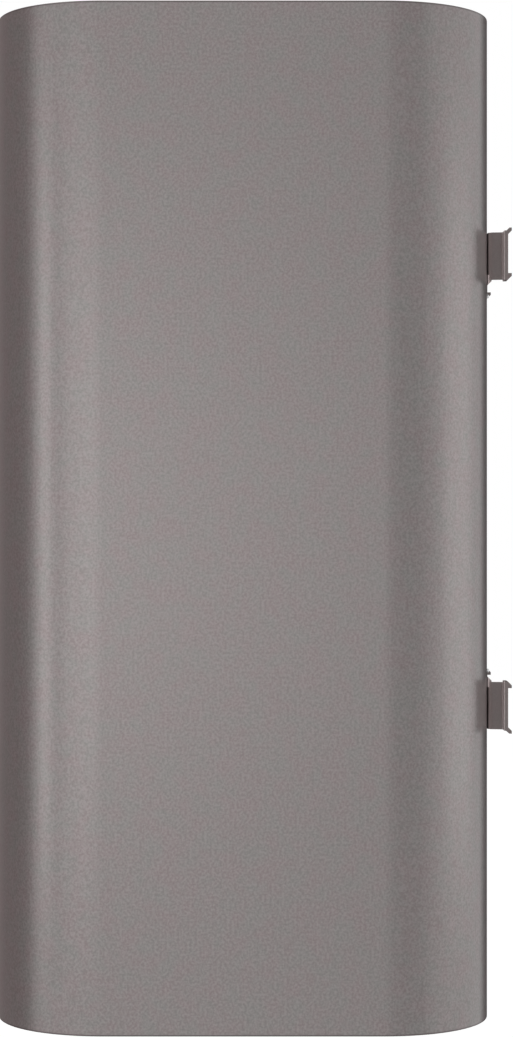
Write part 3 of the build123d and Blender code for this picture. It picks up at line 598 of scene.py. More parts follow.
@dataclass
class Workshop:
    """Turns a mesh into a finished piece of the heater."""

    wardrobe: Wardrobe

    def piece(
        self,
        name: str,
        mesh: bmesh.types.BMesh,
        finish: Union[str, Finish],
        body: Body = Body.HEATER,
        sharp: float = SHARP_TURN,
        stands_for: tuple[str, ...] = (),
    ) -> bpy.types.Object:
        """Makes an object of a mesh, dresses it and lets it ride on its body.

        Args:
            name: The piece's name.
            mesh: Its mesh, in metres and in place.
            finish: The slot or the finish that it is dressed in.
            body: The body that it moves with.
            sharp: Edges that turn by more degrees than this stay sharp.
            stands_for: The nodes that it replaces.

        Returns:
            The finished object.
        """
        bmesh.ops.remove_doubles(mesh, verts=mesh.verts, dist=SAME_PLACE)
        bmesh.ops.recalc_face_normals(mesh, faces=mesh.faces)
        for face in mesh.faces:
            face.smooth = True
        made = stood(name, mesh)
        made.data.set_sharp_from_angle(angle=math.radians(sharp))
        self.even_out(made)
        made.data.materials.append(self.wardrobe.of(finish))
        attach(made, body.value)
        if stands_for:
            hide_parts(*stands_for)
        LOG.info("built %s with %d faces", name, len(made.data.polygons))
        return made

    def even_out(self, piece: bpy.types.Object, keep_sharp: bool = True) -> None:
        """Lets large faces lead the shading, so that bevels blend into them.

        Args:
            piece: The piece that is shaded.
            keep_sharp: Whether its sharp edges stay sharp.
        """
        weighted = piece.modifiers.new("weighted", "WEIGHTED_NORMAL")
        weighted.keep_sharp = keep_sharp
        weighted.weight = 100

    def carve(self, piece: bpy.types.Object, cutters: list[bpy.types.Object]) -> None:
        """Cuts other objects out of a piece and removes them.

        Args:
            piece: The piece that is cut.
            cutters: Closed objects, used up by the cut.
        """
        for cutter in cutters:
            cut = piece.modifiers.new("cut", "BOOLEAN")
            cut.operation = "DIFFERENCE"
            cut.solver = "EXACT"
            cut.object = cutter
            piece.modifiers.move(len(piece.modifiers) - 1, 0)
        bpy.context.view_layer.update()
        graph = bpy.context.evaluated_depsgraph_get()
        carved = bpy.data.meshes.new_from_object(piece.evaluated_get(graph))
        old = piece.data
        piece.modifiers.clear()
        piece.data = carved
        bpy.data.meshes.remove(old)
        for cutter in cutters:
            bpy.data.objects.remove(cutter)

    def tool(self, mesh: bmesh.types.BMesh) -> bpy.types.Object:
        """Makes a cutter of a mesh."""
        bmesh.ops.recalc_face_normals(mesh, faces=mesh.faces)
        return stood("cutter", mesh)


def linked(name: str, data: bpy.types.ID) -> bpy.types.Object:
    """Makes an object of some data and puts it in the scene.

    Args:
        name: The object's name.
        data: The mesh, curve, camera or lamp that it holds.

    Returns:
        The object.
    """
    made = bpy.data.objects.new(name, data)
    bpy.context.scene.collection.objects.link(made)
    return made


def stood(name: str, mesh: bmesh.types.BMesh) -> bpy.types.Object:
    """Makes an object in the scene of a mesh, which is used up.

    Args:
        name: The object's name.
        mesh: Its mesh, freed here.

    Returns:
        The object.
    """
    data = bpy.data.meshes.new(name)
    mesh.to_mesh(data)
    mesh.free()
    return linked(name, data)


def move(mesh: bmesh.types.BMesh, way: Union[Vector, Colour]) -> None:
    """Moves a whole mesh."""
    bmesh.ops.translate(mesh, vec=way, verts=mesh.verts)


def turn_flat(mesh: bmesh.types.BMesh, angle: float) -> None:
    """Turns a whole mesh about the upright axis."""
    bmesh.ops.rotate(mesh, cent=ORIGIN, matrix=Matrix.Rotation(angle, 3, "Z"), verts=mesh.verts)


def lift(mesh: bmesh.types.BMesh, faces: list, height: float) -> None:
    """Draws faces upwards into a body.

    Args:
        mesh: The mesh that the faces belong to.
        faces: The faces that are drawn up.
        height: How far they are drawn.
    """
    raised = bmesh.ops.extrude_face_region(mesh, geom=faces)["geom"]
    lifted = [item for item in raised if isinstance(item, bmesh.types.BMVert)]
    bmesh.ops.translate(mesh, vec=(0, 0, height), verts=lifted)


def block(low: Vector, high: Vector) -> bmesh.types.BMesh:
    """A box between two corners.

    Args:
        low: The corner with the lowest values.
        high: The corner with the highest values.

    Returns:
        The box's mesh.
    """
    mesh = bmesh.new()
    bmesh.ops.create_cube(mesh, size=1.0)
    bmesh.ops.scale(mesh, vec=high - low, verts=mesh.verts)
    move(mesh, (low + high) / 2)
    return mesh


def bar_block(width: float, start: float, end: float, low: float, high: float) -> bmesh.types.BMesh:
    """An upright bar about the middle line.

    Args:
        width: Its width across the line.
        start: Where it starts along the line.
        end: Where it ends along the line.
        low: Its lower face.
        high: Its upper face.

    Returns:
        The mesh, facing up.
    """
    return block(Vector((-width / 2, start, low)), Vector((width / 2, end, high)))


def face_middle(low: Vector, high: Vector, depth: float) -> Vector:
    """The middle of a box as seen from the front, at a depth."""
    return Vector(((low.x + high.x) / 2, depth, (low.z + high.z) / 2))


def along(mesh: bmesh.types.BMesh, axis: int) -> list[bmesh.types.BMEdge]:
    """The edges of a mesh that run along one axis.

    Args:
        mesh: The mesh that is looked through.
        axis: The number of the axis.

    Returns:
        The edges.
    """
    found = []
    for edge in mesh.edges:
        run = edge.verts[1].co - edge.verts[0].co
        if abs(run[axis]) > RIGHT_WAY * run.length:
            found.append(edge)
    return found


def soften(mesh: bmesh.types.BMesh, edges: list, radius: float, segments: int) -> None:
    """Rounds edges of a mesh.

    Args:
        mesh: The mesh that the edges belong to.
        edges: The edges that are rounded.
        radius: The radius of the rounding.
        segments: How many steps it has.
    """
    bmesh.ops.bevel(
        mesh, geom=edges, offset=radius, segments=segments, profile=0.5, affect="EDGES", material=-1
    )


def lies_level(face: bmesh.types.BMFace) -> bool:
    """Says whether a face lies level, whichever way it looks."""
    return abs(face.normal.z) > 0.5


def round_top(mesh: bmesh.types.BMesh, height: float, radius: float, segments: int) -> None:
    """Rounds the edges of a mesh's upper face.

    Args:
        mesh: The mesh, facing up.
        height: The height of its upper face.
        radius: The radius of the rounding.
        segments: How many steps it has.
    """
    top = [face for face in mesh.faces if face.calc_center_median().z > height * RIGHT_WAY]
    soften(mesh, [edge for face in top for edge in face.edges], radius, segments)


def halfway(values: list[float]) -> float:
    """The middle between the smallest and the largest of some values."""
    return (min(values) + max(values)) / 2


def turned(profile: list[tuple[float, float]], steps: int, centre: Vector) -> bmesh.types.BMesh:
    """A body turned about an upright axis.

    Args:
        profile: Radius and height of each corner of the outline.
        steps: How many steps the turn has.
        centre: Where the axis meets height zero.

    Returns:
        The turned mesh.
    """
    mesh = bmesh.new()
    corners = [mesh.verts.new((radius, 0.0, rise)) for radius, rise in profile]
    edges = [mesh.edges.new(pair) for pair in zip(corners, corners[1:])]
    bmesh.ops.spin(
        mesh, geom=corners + edges, cent=ORIGIN, axis=UP, angle=math.tau, steps=steps, use_merge=True
    )
    bmesh.ops.remove_doubles(mesh, verts=mesh.verts, dist=SAME_PLACE)
    move(mesh, centre)
    return mesh


def facing_front(mesh: bmesh.types.BMesh, centre: Vector) -> None:
    """Turns a mesh that was made facing up so that it faces the front, and puts it in place."""
    bmesh.ops.rotate(mesh, cent=ORIGIN, matrix=Matrix.Rotation(math.pi / 2, 3, "X"), verts=mesh.verts)
    move(mesh, centre)


def join(mesh: bmesh.types.BMesh, other: bmesh.types.BMesh) -> None:
    """Adds another mesh to a mesh and frees the other.

    Args:
        mesh: The mesh that grows.
        other: The mesh that is added and freed.
    """
    carried = bpy.data.meshes.new("carried")
    other.to_mesh(carried)
    other.free()
    mesh.from_mesh(carried)
    bpy.data.meshes.remove(carried)


@dataclass
class Casing:
    """The wrapped casing sheet with its folded rims, seam, panel window and stud holes."""

    shop: Workshop
    corner_radius: float = 0.059
    corner_steps: int = 40
    sheet: float = 0.0008
    hem: float = 0.012
    fold_radius: float = 0.00068
    window_overlap: float = 0.002
    window_corner: float = 0.012
    window_steps: int = 8
    seam_width: float = 0.009
    seam_round: float = 0.7
    fold_steps: int = 4
    stud_hole: float = 0.0044
    drill_sheets: int = 6
    fold_turn: float = 1.0

    def __post_init__(self) -> None:
        """Reads the casing's place from the frame."""
        low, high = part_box("outer_shell")
        self.low = low
        self.high = Vector((high.x, high.y - self.sheet, high.z))

    def jacket(self) -> bpy.types.Object:
        """The sheet itself.

        Returns:
            The finished piece.
        """
        mesh = block(self.low, self.high)
        flat = [face for face in mesh.faces if lies_level(face)]
        bmesh.ops.delete(mesh, geom=flat, context="FACES_ONLY")
        soften(mesh, along(mesh, 2), self.corner_radius, self.corner_steps)
        for level in (self.low.z + self.hem, self.high.z - self.hem):
            whole = list(mesh.verts) + list(mesh.edges) + list(mesh.faces)
            bmesh.ops.bisect_plane(mesh, geom=whole, plane_co=(0, 0, level), plane_no=UP)
        bmesh.ops.recalc_face_normals(mesh, faces=mesh.faces)
        outer = set(mesh.faces)
        bmesh.ops.solidify(mesh, geom=list(mesh.faces), thickness=self.sheet)
        inner = [face for face in mesh.faces if face not in outer and not lies_level(face)]
        hems = [face for face in inner if self.in_hem(face.calc_center_median().z)]
        bmesh.ops.inset_region(
            mesh, faces=hems, thickness=0.0, depth=self.sheet, use_boundary=True, use_even_offset=True
        )
        mesh.normal_update()
        rims = [edge for edge in mesh.edges if self.on_rim(edge)]
        soften(mesh, rims, self.fold_radius, self.fold_steps)
        made = self.shop.piece("casing_jacket", mesh, "casing_paint", stands_for=("outer_shell",))
        self.shop.carve(made, [self.window_tool(), *self.stud_tools()])
        made.data.set_sharp_from_angle(angle=math.radians(SHARP_TURN))
        self.shop.even_out(made)
        return made

    def in_hem(self, level: float) -> bool:
        """Says whether a height lies in one of the folded rims."""
        return min(level - self.low.z, self.high.z - level) < self.hem

    def on_rim(self, edge: bmesh.types.BMEdge) -> bool:
        """Says whether an edge is the outer or the inner edge of a rim.

        Args:
            edge: An edge of the sheet.

        Returns:
            True for such an edge.
        """
        levels = [vert.co.z for vert in edge.verts]
        at_rim = all(min(abs(z - self.low.z), abs(z - self.high.z)) < SAME_LEVEL for z in levels)
        return at_rim and len(edge.link_faces) == 2 and edge.calc_face_angle(0.0) > self.fold_turn

    def window_tool(self) -> bpy.types.Object:
        """The cutter of the panel's window.

        Returns:
            The closed cutter.
        """
        low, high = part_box("control_bezel")
        inset = Vector((self.window_overlap, 0, self.window_overlap))
        reach = Vector((0, 2 * self.sheet, 0))
        low = Vector((low.x, self.low.y, low.z)) + inset - reach
        high = Vector((high.x, self.low.y, high.z)) - inset + reach
        mesh = block(low, high)
        soften(mesh, along(mesh, 1), self.window_corner, self.window_steps)
        return self.shop.tool(mesh)

    def stud_tools(self) -> list[bpy.types.Object]:
        """The cutters of the four stud holes in the back.

        Returns:
            A closed cutter for each hole.
        """
        tools = []
        for x, z in stud_places():
            mesh = bmesh.new()
            bmesh.ops.create_cone(
                mesh, cap_ends=True, segments=ROUND_STEPS, radius1=self.stud_hole,
                radius2=self.stud_hole, depth=self.drill_sheets * self.sheet,
            )
            facing_front(mesh, Vector((x, self.high.y, z)))
            tools.append(self.shop.tool(mesh))
        return tools

    def seam(self) -> bpy.types.Object:
        """The folded lock seam down the back.

        Returns:
            The finished piece.
        """
        half = self.seam_width / 2
        low = Vector((-half, self.high.y - self.sheet / 2, self.low.z + self.hem))
        high = Vector((half, self.high.y + self.sheet, self.high.z - self.hem))
        mesh = block(low, high)
        back = [edge for edge in mesh.edges if all(vert.co.y > self.high.y for vert in edge.verts)]
        soften(mesh, back, self.sheet * self.seam_round, self.fold_steps)
        return self.shop.piece("casing_seam", mesh, "casing_paint")


def stud_places() -> list[tuple[float, float]]:
    """Where the four bracket studs stand, seen from the front.

    Returns:
        The place of each across and up.
    """
    low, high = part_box("bracket_nuts")
    nut = frame["nodes"]["bracket_nuts"].data.vertices
    upper = [vert.co for vert in nut if vert.co.z > (low.z + high.z) / 2]
    x = halfway([co.x for co in upper if co.x > 0])
    z_high = halfway([co.z for co in upper])
    z_low = low.z + high.z - z_high
    return [(side * x, z) for side in (-1, 1) for z in (z_low, z_high)]


@dataclass
class Knob:
    """The temperature knob: a fluted disc with a grip across it and a pointer line."""

    shop: Workshop
    base_height: float = 0.0035
    flutes: int = 60
    flute_points: int = 4
    flute_depth: float = 0.00025
    grip_width: float = 0.0098
    edge: float = 0.0009
    edge_steps: int = 4
    grip_round: float = 0.8
    grip_steps: int = 8
    line_width: float = 0.0013
    line_proud: float = 0.00012
    line_start: float = 0.3
    line_end: float = 0.86
    line_round: float = 0.9
    line_steps: int = 6
    start_turn: float = math.radians(135)

    def build(self) -> None:
        """Makes the knob's body and its pointer line."""
        low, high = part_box("temperature_knob")
        centre = face_middle(low, high, high.y)
        radius = (high.x - low.x) / 2
        tall = high.y - low.y - self.line_proud
        body = self.disc(radius)
        join(body, self.grip(radius, tall))
        turn_flat(body, self.start_turn)
        facing_front(body, centre)
        self.shop.piece("knob_body", body, "knob_plastic", Body.KNOB, stands_for=("temperature_knob",))
        line = bar_block(
            self.line_width, radius * self.line_start, radius * self.line_end,
            tall - self.line_proud, tall + self.line_proud,
        )
        soften(line, along(line, 2), self.line_width / 2 * self.line_round, self.line_steps)
        turn_flat(line, self.start_turn)
        facing_front(line, centre)
        self.shop.piece("knob_pointer", line, PRINT, Body.KNOB)

    def disc(self, radius: float) -> bmesh.types.BMesh:
        """The round base, with shallow flutes in its side.

        Args:
            radius: The radius over the flutes.

        Returns:
            The mesh, facing up.
        """
        mesh = bmesh.new()
        points = self.flutes * self.flute_points
        bmesh.ops.create_circle(mesh, cap_ends=True, segments=points, radius=radius)
        for number, vert in enumerate(mesh.verts):
            dip = 0.5 - 0.5 * math.cos(math.tau * number / self.flute_points)
            vert.co *= 1 - dip * self.flute_depth / radius
        lift(mesh, list(mesh.faces), self.base_height)
        round_top(mesh, self.base_height, self.edge, self.edge_steps)
        return mesh

    def grip(self, radius: float, tall: float) -> bmesh.types.BMesh:
        """The straight grip across the disc.

        Args:
            radius: The disc's radius.
            tall: The grip's height over the knob's back.

        Returns:
            The mesh, facing up.
        """
        reach = radius - 2 * self.edge
        mesh = bar_block(self.grip_width, -reach, reach, self.base_height / 2, tall)
        soften(mesh, along(mesh, 2), self.grip_width / 2 * self.grip_round, self.grip_steps)
        round_top(mesh, tall, self.edge, self.edge_steps + 1)
        return mesh


@dataclass
class ControlPanel:
    """The marks on the panel: the dial, the digits behind the lens and the signs on the buttons."""

    shop: Workshop
    tick_count: int = 13
    tick_low: float = 0.0222
    tick_long: float = 0.0026
    tick_width: float = 0.0005
    print_height: float = 0.00006
    numeral_radius: float = 0.0277
    numeral_size: float = 0.0044
    first_turn: float = -135.0
    last_turn: float = 135.0
    digit_height: float = 0.0125
    digit_width: float = 0.0072
    digit_bar: float = 0.0013
    digit_gap: float = 0.0042
    bar_gap: float = 0.12
    bar_point: float = 0.98
    digit_depth: float = 0.0002
    digit_slant: float = 0.12
    sign_radius: float = 0.0021
    sign_width: float = 0.0005
    sign_turn: float = math.radians(300)
    sign_steps: int = 40
    leaf_width: float = 0.62
    leaf_turn: float = -0.6
    stem_reach: float = 1.5
    stem_proud: float = 1.4

    def dial(self) -> None:
        """Prints the ticks and the plain numbers round the knob."""
        low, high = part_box("temperature_knob")
        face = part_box("control_bezel")[0].y
        ticks = bmesh.new()
        for number in range(self.tick_count):
            share = number / (self.tick_count - 1)
            turn = -math.radians(self.first_turn + share * (self.last_turn - self.first_turn))
            numbered = number % 2 == 0
            end = self.tick_low + (self.tick_long if numbered else self.tick_long / 2)
            tick = bar_block(self.tick_width, self.tick_low, end, -self.print_height, self.print_height)
            turn_flat(tick, turn)
            join(ticks, tick)
            if numbered:
                join(ticks, self.numeral(str(number // 2 + 1), turn))
        facing_front(ticks, face_middle(low, high, face))
        self.shop.piece("dial_print", ticks, PRINT)

    def numeral(self, text: str, turn: float) -> bmesh.types.BMesh:
        """A plain upright number beside its tick.

        Args:
            text: The number.
            turn: Where it stands round the dial, in radians from the top.

        Returns:
            Its mesh, facing up.
        """
        curve = bpy.data.curves.new("numeral", "FONT")
        curve.body = text
        curve.size = self.numeral_size
        curve.extrude = self.print_height
        curve.align_x = "CENTER"
        curve.align_y = "CENTER"
        holder = linked("numeral", curve)
        bpy.context.view_layer.update()
        data = bpy.data.meshes.new_from_object(holder)
        mesh = bmesh.new()
        mesh.from_mesh(data)
        bpy.data.objects.remove(holder)
        bpy.data.curves.remove(curve)
        bpy.data.meshes.remove(data)
        move(mesh, Vector((-math.sin(turn), math.cos(turn), 0)) * self.numeral_radius)
        return mesh

    def digits(self) -> None:
        """The two lit digits on the display module, each a five."""
        low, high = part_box("display_module")
        lit = bmesh.new()
        for side in (-1, 1):
            for x, y, upright in self.bars_of_five():
                bar = self.bar(upright)
                move(bar, (x + side * (self.digit_width + self.digit_gap) / 2, y, 0))
                join(lit, bar)
        for vert in lit.verts:
            vert.co.x += vert.co.y * self.digit_slant
        facing_front(lit, face_middle(low, high, low.y))
        self.shop.piece("display_digits", lit, DIGITS)

    def bars_of_five(self) -> list[tuple[float, float, bool]]:
        """The lit bars of a five: the place of each and whether it stands upright.

        Returns:
            Across, up and upright for each bar.
        """
        side, rise = self.digit_width / 2, self.digit_height / 2
        uprights = [(-side, rise / 2, True), (side, -rise / 2, True)]
        return [(0.0, rise, False), uprights[0], (0.0, 0.0, False), uprights[1], (0.0, -rise, False)]

    def bar(self, upright: bool) -> bmesh.types.BMesh:
        """One bar with pointed ends, flat on the display.

        Args:
            upright: Whether it stands upright.

        Returns:
            The bar's mesh, facing up.
        """
        span = self.digit_height / 2 if upright else self.digit_width
        half = span / 2 - self.digit_bar * self.bar_gap
        thick = self.digit_bar / 2
        mesh = block(Vector((-half, -thick, 0)), Vector((half, thick, self.digit_depth)))
        soften(mesh, along(mesh, 2), thick * self.bar_point, 1)
        if upright:
            turn_flat(mesh, math.pi / 2)
        return mesh

    def button_signs(self) -> None:
        """The on-off sign and the leaf of the saving mode, printed on the buttons."""
        sign = self.arc()
        reach = self.sign_radius + self.sign_width
        join(sign, bar_block(self.sign_width, 0, reach, -self.print_height, self.print_height))
        facing_front(sign, self.button_face("power_button"))
        self.shop.piece("power_sign", sign, PRINT, Body.POWER_KEY)
        leaf = self.leaf()
        facing_front(leaf, self.button_face("eco_button"))
        self.shop.piece("eco_leaf", leaf, LEAF, Body.ECO_KEY)

    def button_face(self, node: str) -> Vector:
        """The middle of a button's front face."""
        low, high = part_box(node)
        return face_middle(low, high, low.y)

    def arc(self) -> bmesh.types.BMesh:
        """An open ring with its gap at the top, facing up.

        Returns:
            The ring's mesh.
        """
        mesh = bmesh.new()
        inner, outer = self.sign_radius - self.sign_width / 2, self.sign_radius + self.sign_width / 2
        outline = [(inner, 0), (outer, 0), (outer, self.print_height), (inner, self.print_height)]
        face = mesh.faces.new([mesh.verts.new((radius, 0, rise)) for radius, rise in outline])
        turn_flat(mesh, math.pi / 2 + (math.tau - self.sign_turn) / 2)
        bmesh.ops.spin(
            mesh, geom=[face, *face.edges, *face.verts], cent=ORIGIN, axis=UP, angle=self.sign_turn,
            steps=self.sign_steps,
        )
        return mesh

    def leaf(self) -> bmesh.types.BMesh:
        """A pointed leaf with a stem, facing up.

        Returns:
            The leaf's mesh.
        """
        mesh = bmesh.new()
        bmesh.ops.create_circle(mesh, cap_ends=True, segments=ROUND_STEPS, radius=self.sign_radius)
        for vert in mesh.verts:
            narrow = abs(vert.co.y) / self.sign_radius
            vert.co.x *= self.leaf_width * (1 - narrow ** 2) ** 0.5 if narrow < 1 else 0
        lift(mesh, list(mesh.faces), self.print_height)
        foot = -self.sign_radius * self.stem_reach
        join(mesh, bar_block(self.sign_width / 2, foot, 0, 0, self.print_height * self.stem_proud))
        turn_flat(mesh, self.leaf_turn)
        return mesh


@dataclass
class PipeEnds:
    """The threaded pipe ends under the casing."""

    shop: Workshop
    pitch: float = 0.001814
    thread_depth: float = 0.0011
    thread_length: float = 0.018
    lead_in: float = 0.0012
    bore: float = 0.008
    crest_round: float = 0.0001
    crest_inset: float = 0.00017
    ridge_share: float = 0.42
    ridge_sunk: float = 0.0002
    crest_flat: float = 0.25
    turn_steps: int = 32
    body_steps: int = 96

    def build(self) -> None:
        """Makes both pipe ends, each with its thread."""
        for node in ("cold_nipple", "hot_nipple"):
            low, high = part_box(node)
            centre = Vector(((low.x + high.x) / 2, (low.y + high.y) / 2, low.z))
            body_radius = (high.x - low.x) / 2
            crest = body_radius - self.crest_inset
            root = crest - self.thread_depth
            tall = high.z - low.z
            profile = [
                (self.bore, 0.0), (root - self.lead_in / 2, 0.0), (root, self.lead_in / 2),
                (root, self.thread_length - self.lead_in), (body_radius, self.thread_length),
                (body_radius, tall), (self.bore, tall), (self.bore, 0.0),
            ]
            mesh = turned(profile, self.body_steps, centre)
            join(mesh, self.thread(root, crest, centre))
            self.shop.piece(node.replace("nipple", "pipe_end"), mesh, "pipe_steel", stands_for=(node,))

    def thread(self, root: float, crest: float, centre: Vector) -> bmesh.types.BMesh:
        """The ridge that winds round a pipe end.

        Args:
            root: The radius at the thread's root.
            crest: The radius at its crest.
            centre: The middle of the pipe's lower face.

        Returns:
            The ridge's mesh.
        """
        turns = (self.thread_length - 3 * self.lead_in) / self.pitch
        steps = int(turns * self.turn_steps)
        mesh = bmesh.new()
        half = self.pitch * self.ridge_share
        sunk = root - self.ridge_sunk
        shoulder = crest - self.crest_round
        flat = half * self.crest_flat
        outline = [(sunk, -half), (shoulder, -flat), (crest, 0.0), (shoulder, flat), (sunk, half)]
        corners = [mesh.verts.new((radius, 0.0, rise + self.lead_in + half)) for radius, rise in outline]
        face = mesh.faces.new(corners)
        bmesh.ops.spin(
            mesh, geom=[face, *face.edges, *face.verts], cent=ORIGIN, axis=UP,
            dvec=(0, 0, turns * self.pitch / steps), angle=math.tau * turns, steps=steps,
        )
        move(mesh, centre)
        return mesh


@dataclass
class CoverScrews:
    """The domed screws of the service cover, with their cross recesses."""

    shop: Workshop
    head_radius: float = 0.0034
    head_height: float = 0.0018
    shank_radius: float = 0.0016
    cross_width: float = 0.0009
    cross_reach: float = 0.0019
    cross_depth: float = 0.0011
    dome_steps: int = 6
    dome_share: float = 0.8
    sharp: float = 40.0
    head_zone: float = 1.5
    head_apart: float = 3.0

    def build(self) -> None:
        """Makes all the screws as one piece and cuts their crosses."""
        low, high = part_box("service_cover_screws")
        places = self.places()
        mesh = bmesh.new()
        for x, y in places:
            screw = turned(self.profile(high.z - low.z), ROUND_STEPS, Vector((x, y, low.z)))
            join(mesh, screw)
        made = self.shop.piece(
            "cover_screw_set", mesh, "zinc_steel", stands_for=("service_cover_screws",), sharp=self.sharp
        )
        self.shop.carve(made, [self.cross(Vector((x, y, low.z))) for x, y in places])
        made.data.set_sharp_from_angle(angle=math.radians(self.sharp))

    def cross(self, top: Vector) -> bpy.types.Object:
        """The cutter of one cross recess.

        Args:
            top: The top of the screw's head.

        Returns:
            The closed cutter.
        """
        half, reach = self.cross_width / 2, self.cross_reach
        mesh = bmesh.new()
        corners = []
        for x, y in ((1, 1), (1, -1), (-1, -1), (-1, 1)):
            arm = [(half * x, reach * y), (half * x, half * y), (reach * x, half * y)]
            corners += arm if x == y else arm[::-1]
        face = mesh.faces.new([mesh.verts.new((x, y, -self.cross_depth)) for x, y in corners])
        lift(mesh, [face], 2 * self.cross_depth)
        move(mesh, top)
        return self.shop.tool(mesh)

    def places(self) -> list[tuple[float, float]]:
        """Where the screws are, from the screw heads of the frame's node.

        Returns:
            The middle of each head across and in depth.
        """
        heads: list[list[Vector]] = []
        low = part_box("service_cover_screws")[0].z
        apart = self.head_radius * self.head_apart
        for vert in frame["nodes"]["service_cover_screws"].data.vertices:
            if vert.co.z > low + self.head_height * self.head_zone:
                continue
            near = [head for head in heads if (head[0] - vert.co).length < apart]
            if near:
                near[0].append(vert.co.copy())
            else:
                heads.append([vert.co.copy()])
        return [(halfway([co.x for co in head]), halfway([co.y for co in head])) for head in heads]

    def profile(self, tall: float) -> list[tuple[float, float]]:
        """The outline of a screw, from the top of its domed head to its tip.

        Args:
            tall: The screw's whole length.

        Returns:
            Radius and height of each corner.
        """
        dome = self.head_height * self.dome_share
        turns = [math.pi / 2 * step / self.dome_steps for step in range(self.dome_steps + 1)]
        arc = [(self.head_radius * math.sin(turn), dome * (1 - math.cos(turn))) for turn in turns]
        return arc + [
            (self.head_radius, self.head_height), (self.shank_radius, self.head_height),
            (self.shank_radius, tall - self.shank_radius), (0.0, tall),
        ]


@dataclass
class SoftEdges:
    """Small rounded edges on carried-over nodes, which pressed and moulded pieces have."""

    shop: Workshop
    bevel_turn: float = 35.0
    radii: tuple[tuple[str, float], ...] = (
        ("upper_wall_bracket", 0.00035),
        ("lower_wall_bracket", 0.00035),
        ("bracket_nuts", 0.0004),
        ("control_bezel", 0.00025),
        ("service_cover", 0.0003),
        ("cable_gland", 0.0004),
    )

    def build(self) -> None:
        """Puts a weld and a bevel on each node, which leaves its mesh as it is."""
        for node, radius in self.radii:
            piece = frame["nodes"][node]
            weld = piece.modifiers.new("weld", "WELD")
            weld.merge_threshold = SAME_LEVEL
            bevel = piece.modifiers.new("soft_edge", "BEVEL")
            bevel.width = radius
            bevel.segments = 2
            bevel.limit_method = "ANGLE"
            bevel.angle_limit = math.radians(self.bevel_turn)
            bevel.harden_normals = False
            self.shop.even_out(piece, keep_sharp=False)
            LOG.info("softened the edges of %s", node)


@dataclass(frozen=True)
class Lamp:
    """A soft box, by the compass angle that it stands at round the side view."""

    name: str
    turn: float
    rise: float
    distance: float
    width: float
    height: float
    level: float


@dataclass(frozen=True)
class Flag:
    """A curved card of an even tone, which the casing reflects and the camera doesn't see."""

    name: str
    first: float
    last: float
    distance: float
    height: float
    tone: Colour


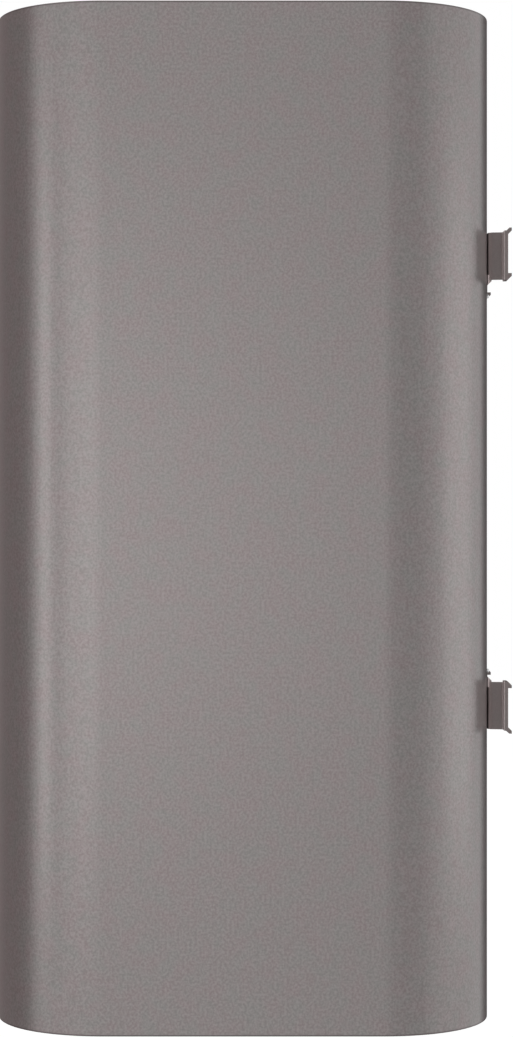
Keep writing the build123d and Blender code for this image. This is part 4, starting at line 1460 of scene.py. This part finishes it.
@dataclass
class Studio:
    """The camera, the lamps, the cards, the floor and the white surroundings."""

    lens: float = 87.9
    sensor: float = 36.0
    camera_distance: float = 1.319
    camera_sight: float = 100.0
    shift_x: float = 0.0123
    floor_drop: float = 1.9
    floor_size: float = 60.0
    ambient: float = 0.8
    floor_glow: float = 0.38
    floor_tones: tuple[Colour, Colour] = ((0.82, 0.82, 0.82), (0.8, 0.8, 0.8))
    aim_share: float = 0.75
    card_steps: int = 24
    nap_size: float = 0.01
    nap_tone: float = 0.94
    paper_size: float = 0.02
    lamps: tuple[Lamp, ...] = (
        Lamp("side_softbox", 0.0, 0.0, 1.45, 1.3, 0.42, 0.32),
        Lamp("front_softbox", -26.0, 0.0, 1.25, 0.9, 0.7, 0.7),
        Lamp("edge_softbox", -66.0, 0.0, 1.25, 0.25, 0.7, 1.5),
        Lamp("wall_softbox", 88.0, 0.0, 1.3, 0.9, 0.7, 0.67),
        Lamp("overhead_softbox", -70.0, 1.5, 0.9, 1.2, 1.2, 1.0),
    )
    flags: tuple[Flag, ...] = (
        Flag("front_flag", -81.0, -180.0, 1.1, 2.4, (0.27, 0.22, 0.22)),
        Flag("side_flag", 10.0, 51.0, 0.95, 2.0, (0.72, 0.72, 0.72)),
        Flag("wall_flag", 132.0, 174.0, 1.1, 1.6, (0.02, 0.018, 0.018)),
    )

    def __post_init__(self) -> None:
        """Reads the place of the side that the camera looks at."""
        low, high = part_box("outer_shell")
        self.side = high.x
        self.middle = Vector((0, (low.y + high.y) / 2, (low.z + high.z) / 2))

    def camera(self) -> None:
        """Stands the camera square to the right-hand side."""
        data = bpy.data.cameras.new("side_camera")
        data.lens = self.lens
        data.sensor_width = self.sensor
        data.shift_x = self.shift_x
        data.clip_end = self.camera_sight
        made = linked("side_camera", data)
        made.location = (self.side + self.camera_distance, self.middle.y, self.middle.z)
        made.rotation_euler = (math.pi / 2, 0, math.pi / 2)
        bpy.context.scene.camera = made

    def around(self, turn: float, distance: float, rise: float = 0.0) -> Vector:
        """A place round the side's middle; angles run from the camera towards the wall.

        Args:
            turn: The angle in degrees.
            distance: How far out the place is.
            rise: How far it is over the side's middle.

        Returns:
            The place.
        """
        angle = math.radians(turn)
        centre = Vector((self.side * self.aim_share, self.middle.y, self.middle.z + rise))
        return centre + Vector((math.cos(angle), math.sin(angle), 0)) * distance

    def light(self) -> None:
        """Hangs the soft boxes, each with the power that gives its face its level."""
        target = self.around(0, 0)
        for lamp in self.lamps:
            data = bpy.data.lights.new(lamp.name, "AREA")
            data.shape = "RECTANGLE"
            data.size = lamp.width
            data.size_y = lamp.height
            data.energy = lamp.level * math.pi * lamp.width * lamp.height
            made = linked(lamp.name, data)
            made.location = self.around(lamp.turn, lamp.distance, lamp.rise)
            aim = target - made.location
            made.rotation_mode = "QUATERNION"
            made.rotation_quaternion = aim.to_track_quat("-Z", "Y")
            made.visible_camera = False
            LOG.info("hung %s", lamp.name)

    def shade(self) -> None:
        """Stands the cards, whose reflections draw the bands along the casing."""
        for flag in self.flags:
            mesh = bmesh.new()
            start = self.around(flag.first, flag.distance)
            foot = mesh.verts.new(start - Vector((0, 0, flag.height / 2)))
            head = mesh.verts.new(start + Vector((0, 0, flag.height / 2)))
            edge = mesh.edges.new((foot, head))
            bmesh.ops.spin(
                mesh, geom=[foot, head, edge], cent=self.around(0, 0), axis=UP,
                angle=math.radians(flag.last - flag.first), steps=self.card_steps,
            )
            made = stood(flag.name, mesh)
            made.visible_camera = False
            made.data.materials.append(self.card(flag))

    def card(self, flag: Flag) -> bpy.types.Material:
        """A card's material, which keeps the card's tone in any light.

        Args:
            flag: The card.

        Returns:
            The material.
        """
        made, shader = new_material(flag.name)
        nap = shader.noise(shader.place(), self.nap_size)
        tone = shader.mix(nap, flag.tone, tuple(part * self.nap_tone for part in flag.tone))
        shader.shown(shader.node("ShaderNodeEmission", None, {"Color": tone, "Strength": 1.0}))
        return made

    def floor(self) -> None:
        """Lays a pale floor under the heater, which hangs clear of it."""
        mesh = bmesh.new()
        bmesh.ops.create_grid(mesh, x_segments=1, y_segments=1, size=self.floor_size / 2)
        move(mesh, (0, 0, CAD_BOX[0].z - self.floor_drop))
        made = stood("floor", mesh)
        material, shader = new_material("floor")
        paper = shader.noise(shader.place(), self.paper_size)
        tone = shader.mix(paper, *self.floor_tones)
        matte = shader.node("ShaderNodeBsdfDiffuse", None, {"Color": tone})
        glow = shader.node("ShaderNodeEmission", None, {"Strength": self.seen(shader) * self.floor_glow})
        shader.shown(shader.node("ShaderNodeAddShader", None, {0: matte, 1: glow}))
        made.data.materials.append(material)

    def seen(self, shader: Shader) -> Field:
        """Is 1 for what the camera sees, straight or in metal and glass.

        Args:
            shader: The nodes of a material or of the world.

        Returns:
            The share, 0 or 1.
        """
        camera = shader.node("ShaderNodeLightPath", output=0)
        glossy = shader.node("ShaderNodeLightPath", output=3)
        through = shader.node("ShaderNodeLightPath", output=6)
        return camera.most(glossy).most(through)

    def surroundings(self) -> None:
        """Makes the world white to look at, and a soft even light otherwise."""
        world = bpy.data.worlds.new("white_room")
        world.use_nodes = True
        bpy.context.scene.world = world
        shader = Shader(world.node_tree)
        level = self.seen(shader) * (1.0 - self.ambient) + self.ambient
        back = shader.node("ShaderNodeBackground", None, {"Color": rgba((1, 1, 1)), "Strength": level})
        shader.node("ShaderNodeOutputWorld", None, {"Surface": back})

    def build(self) -> None:
        """Sets up the whole studio."""
        self.camera()
        self.light()
        self.shade()
        self.floor()
        self.surroundings()
        bpy.context.scene.view_settings.view_transform = "Standard"


def main() -> None:
    """Builds the studio and the heater, sub-assembly by sub-assembly."""
    logging.basicConfig(level=logging.INFO, format="%(name)s: %(message)s")
    Studio().build()
    wardrobe = Wardrobe()
    wardrobe.dress_all()
    shop = Workshop(wardrobe)
    wardrobe.dress(frame["nodes"]["display_lens"], wardrobe.of(LENS))
    casing = Casing(shop)
    casing.jacket()
    casing.seam()
    Knob(shop).build()
    panel = ControlPanel(shop)
    panel.dial()
    panel.digits()
    panel.button_signs()
    PipeEnds(shop).build()
    CoverScrews(shop).build()
    SoftEdges(shop).build()


if __name__ == "__main__":
    main()
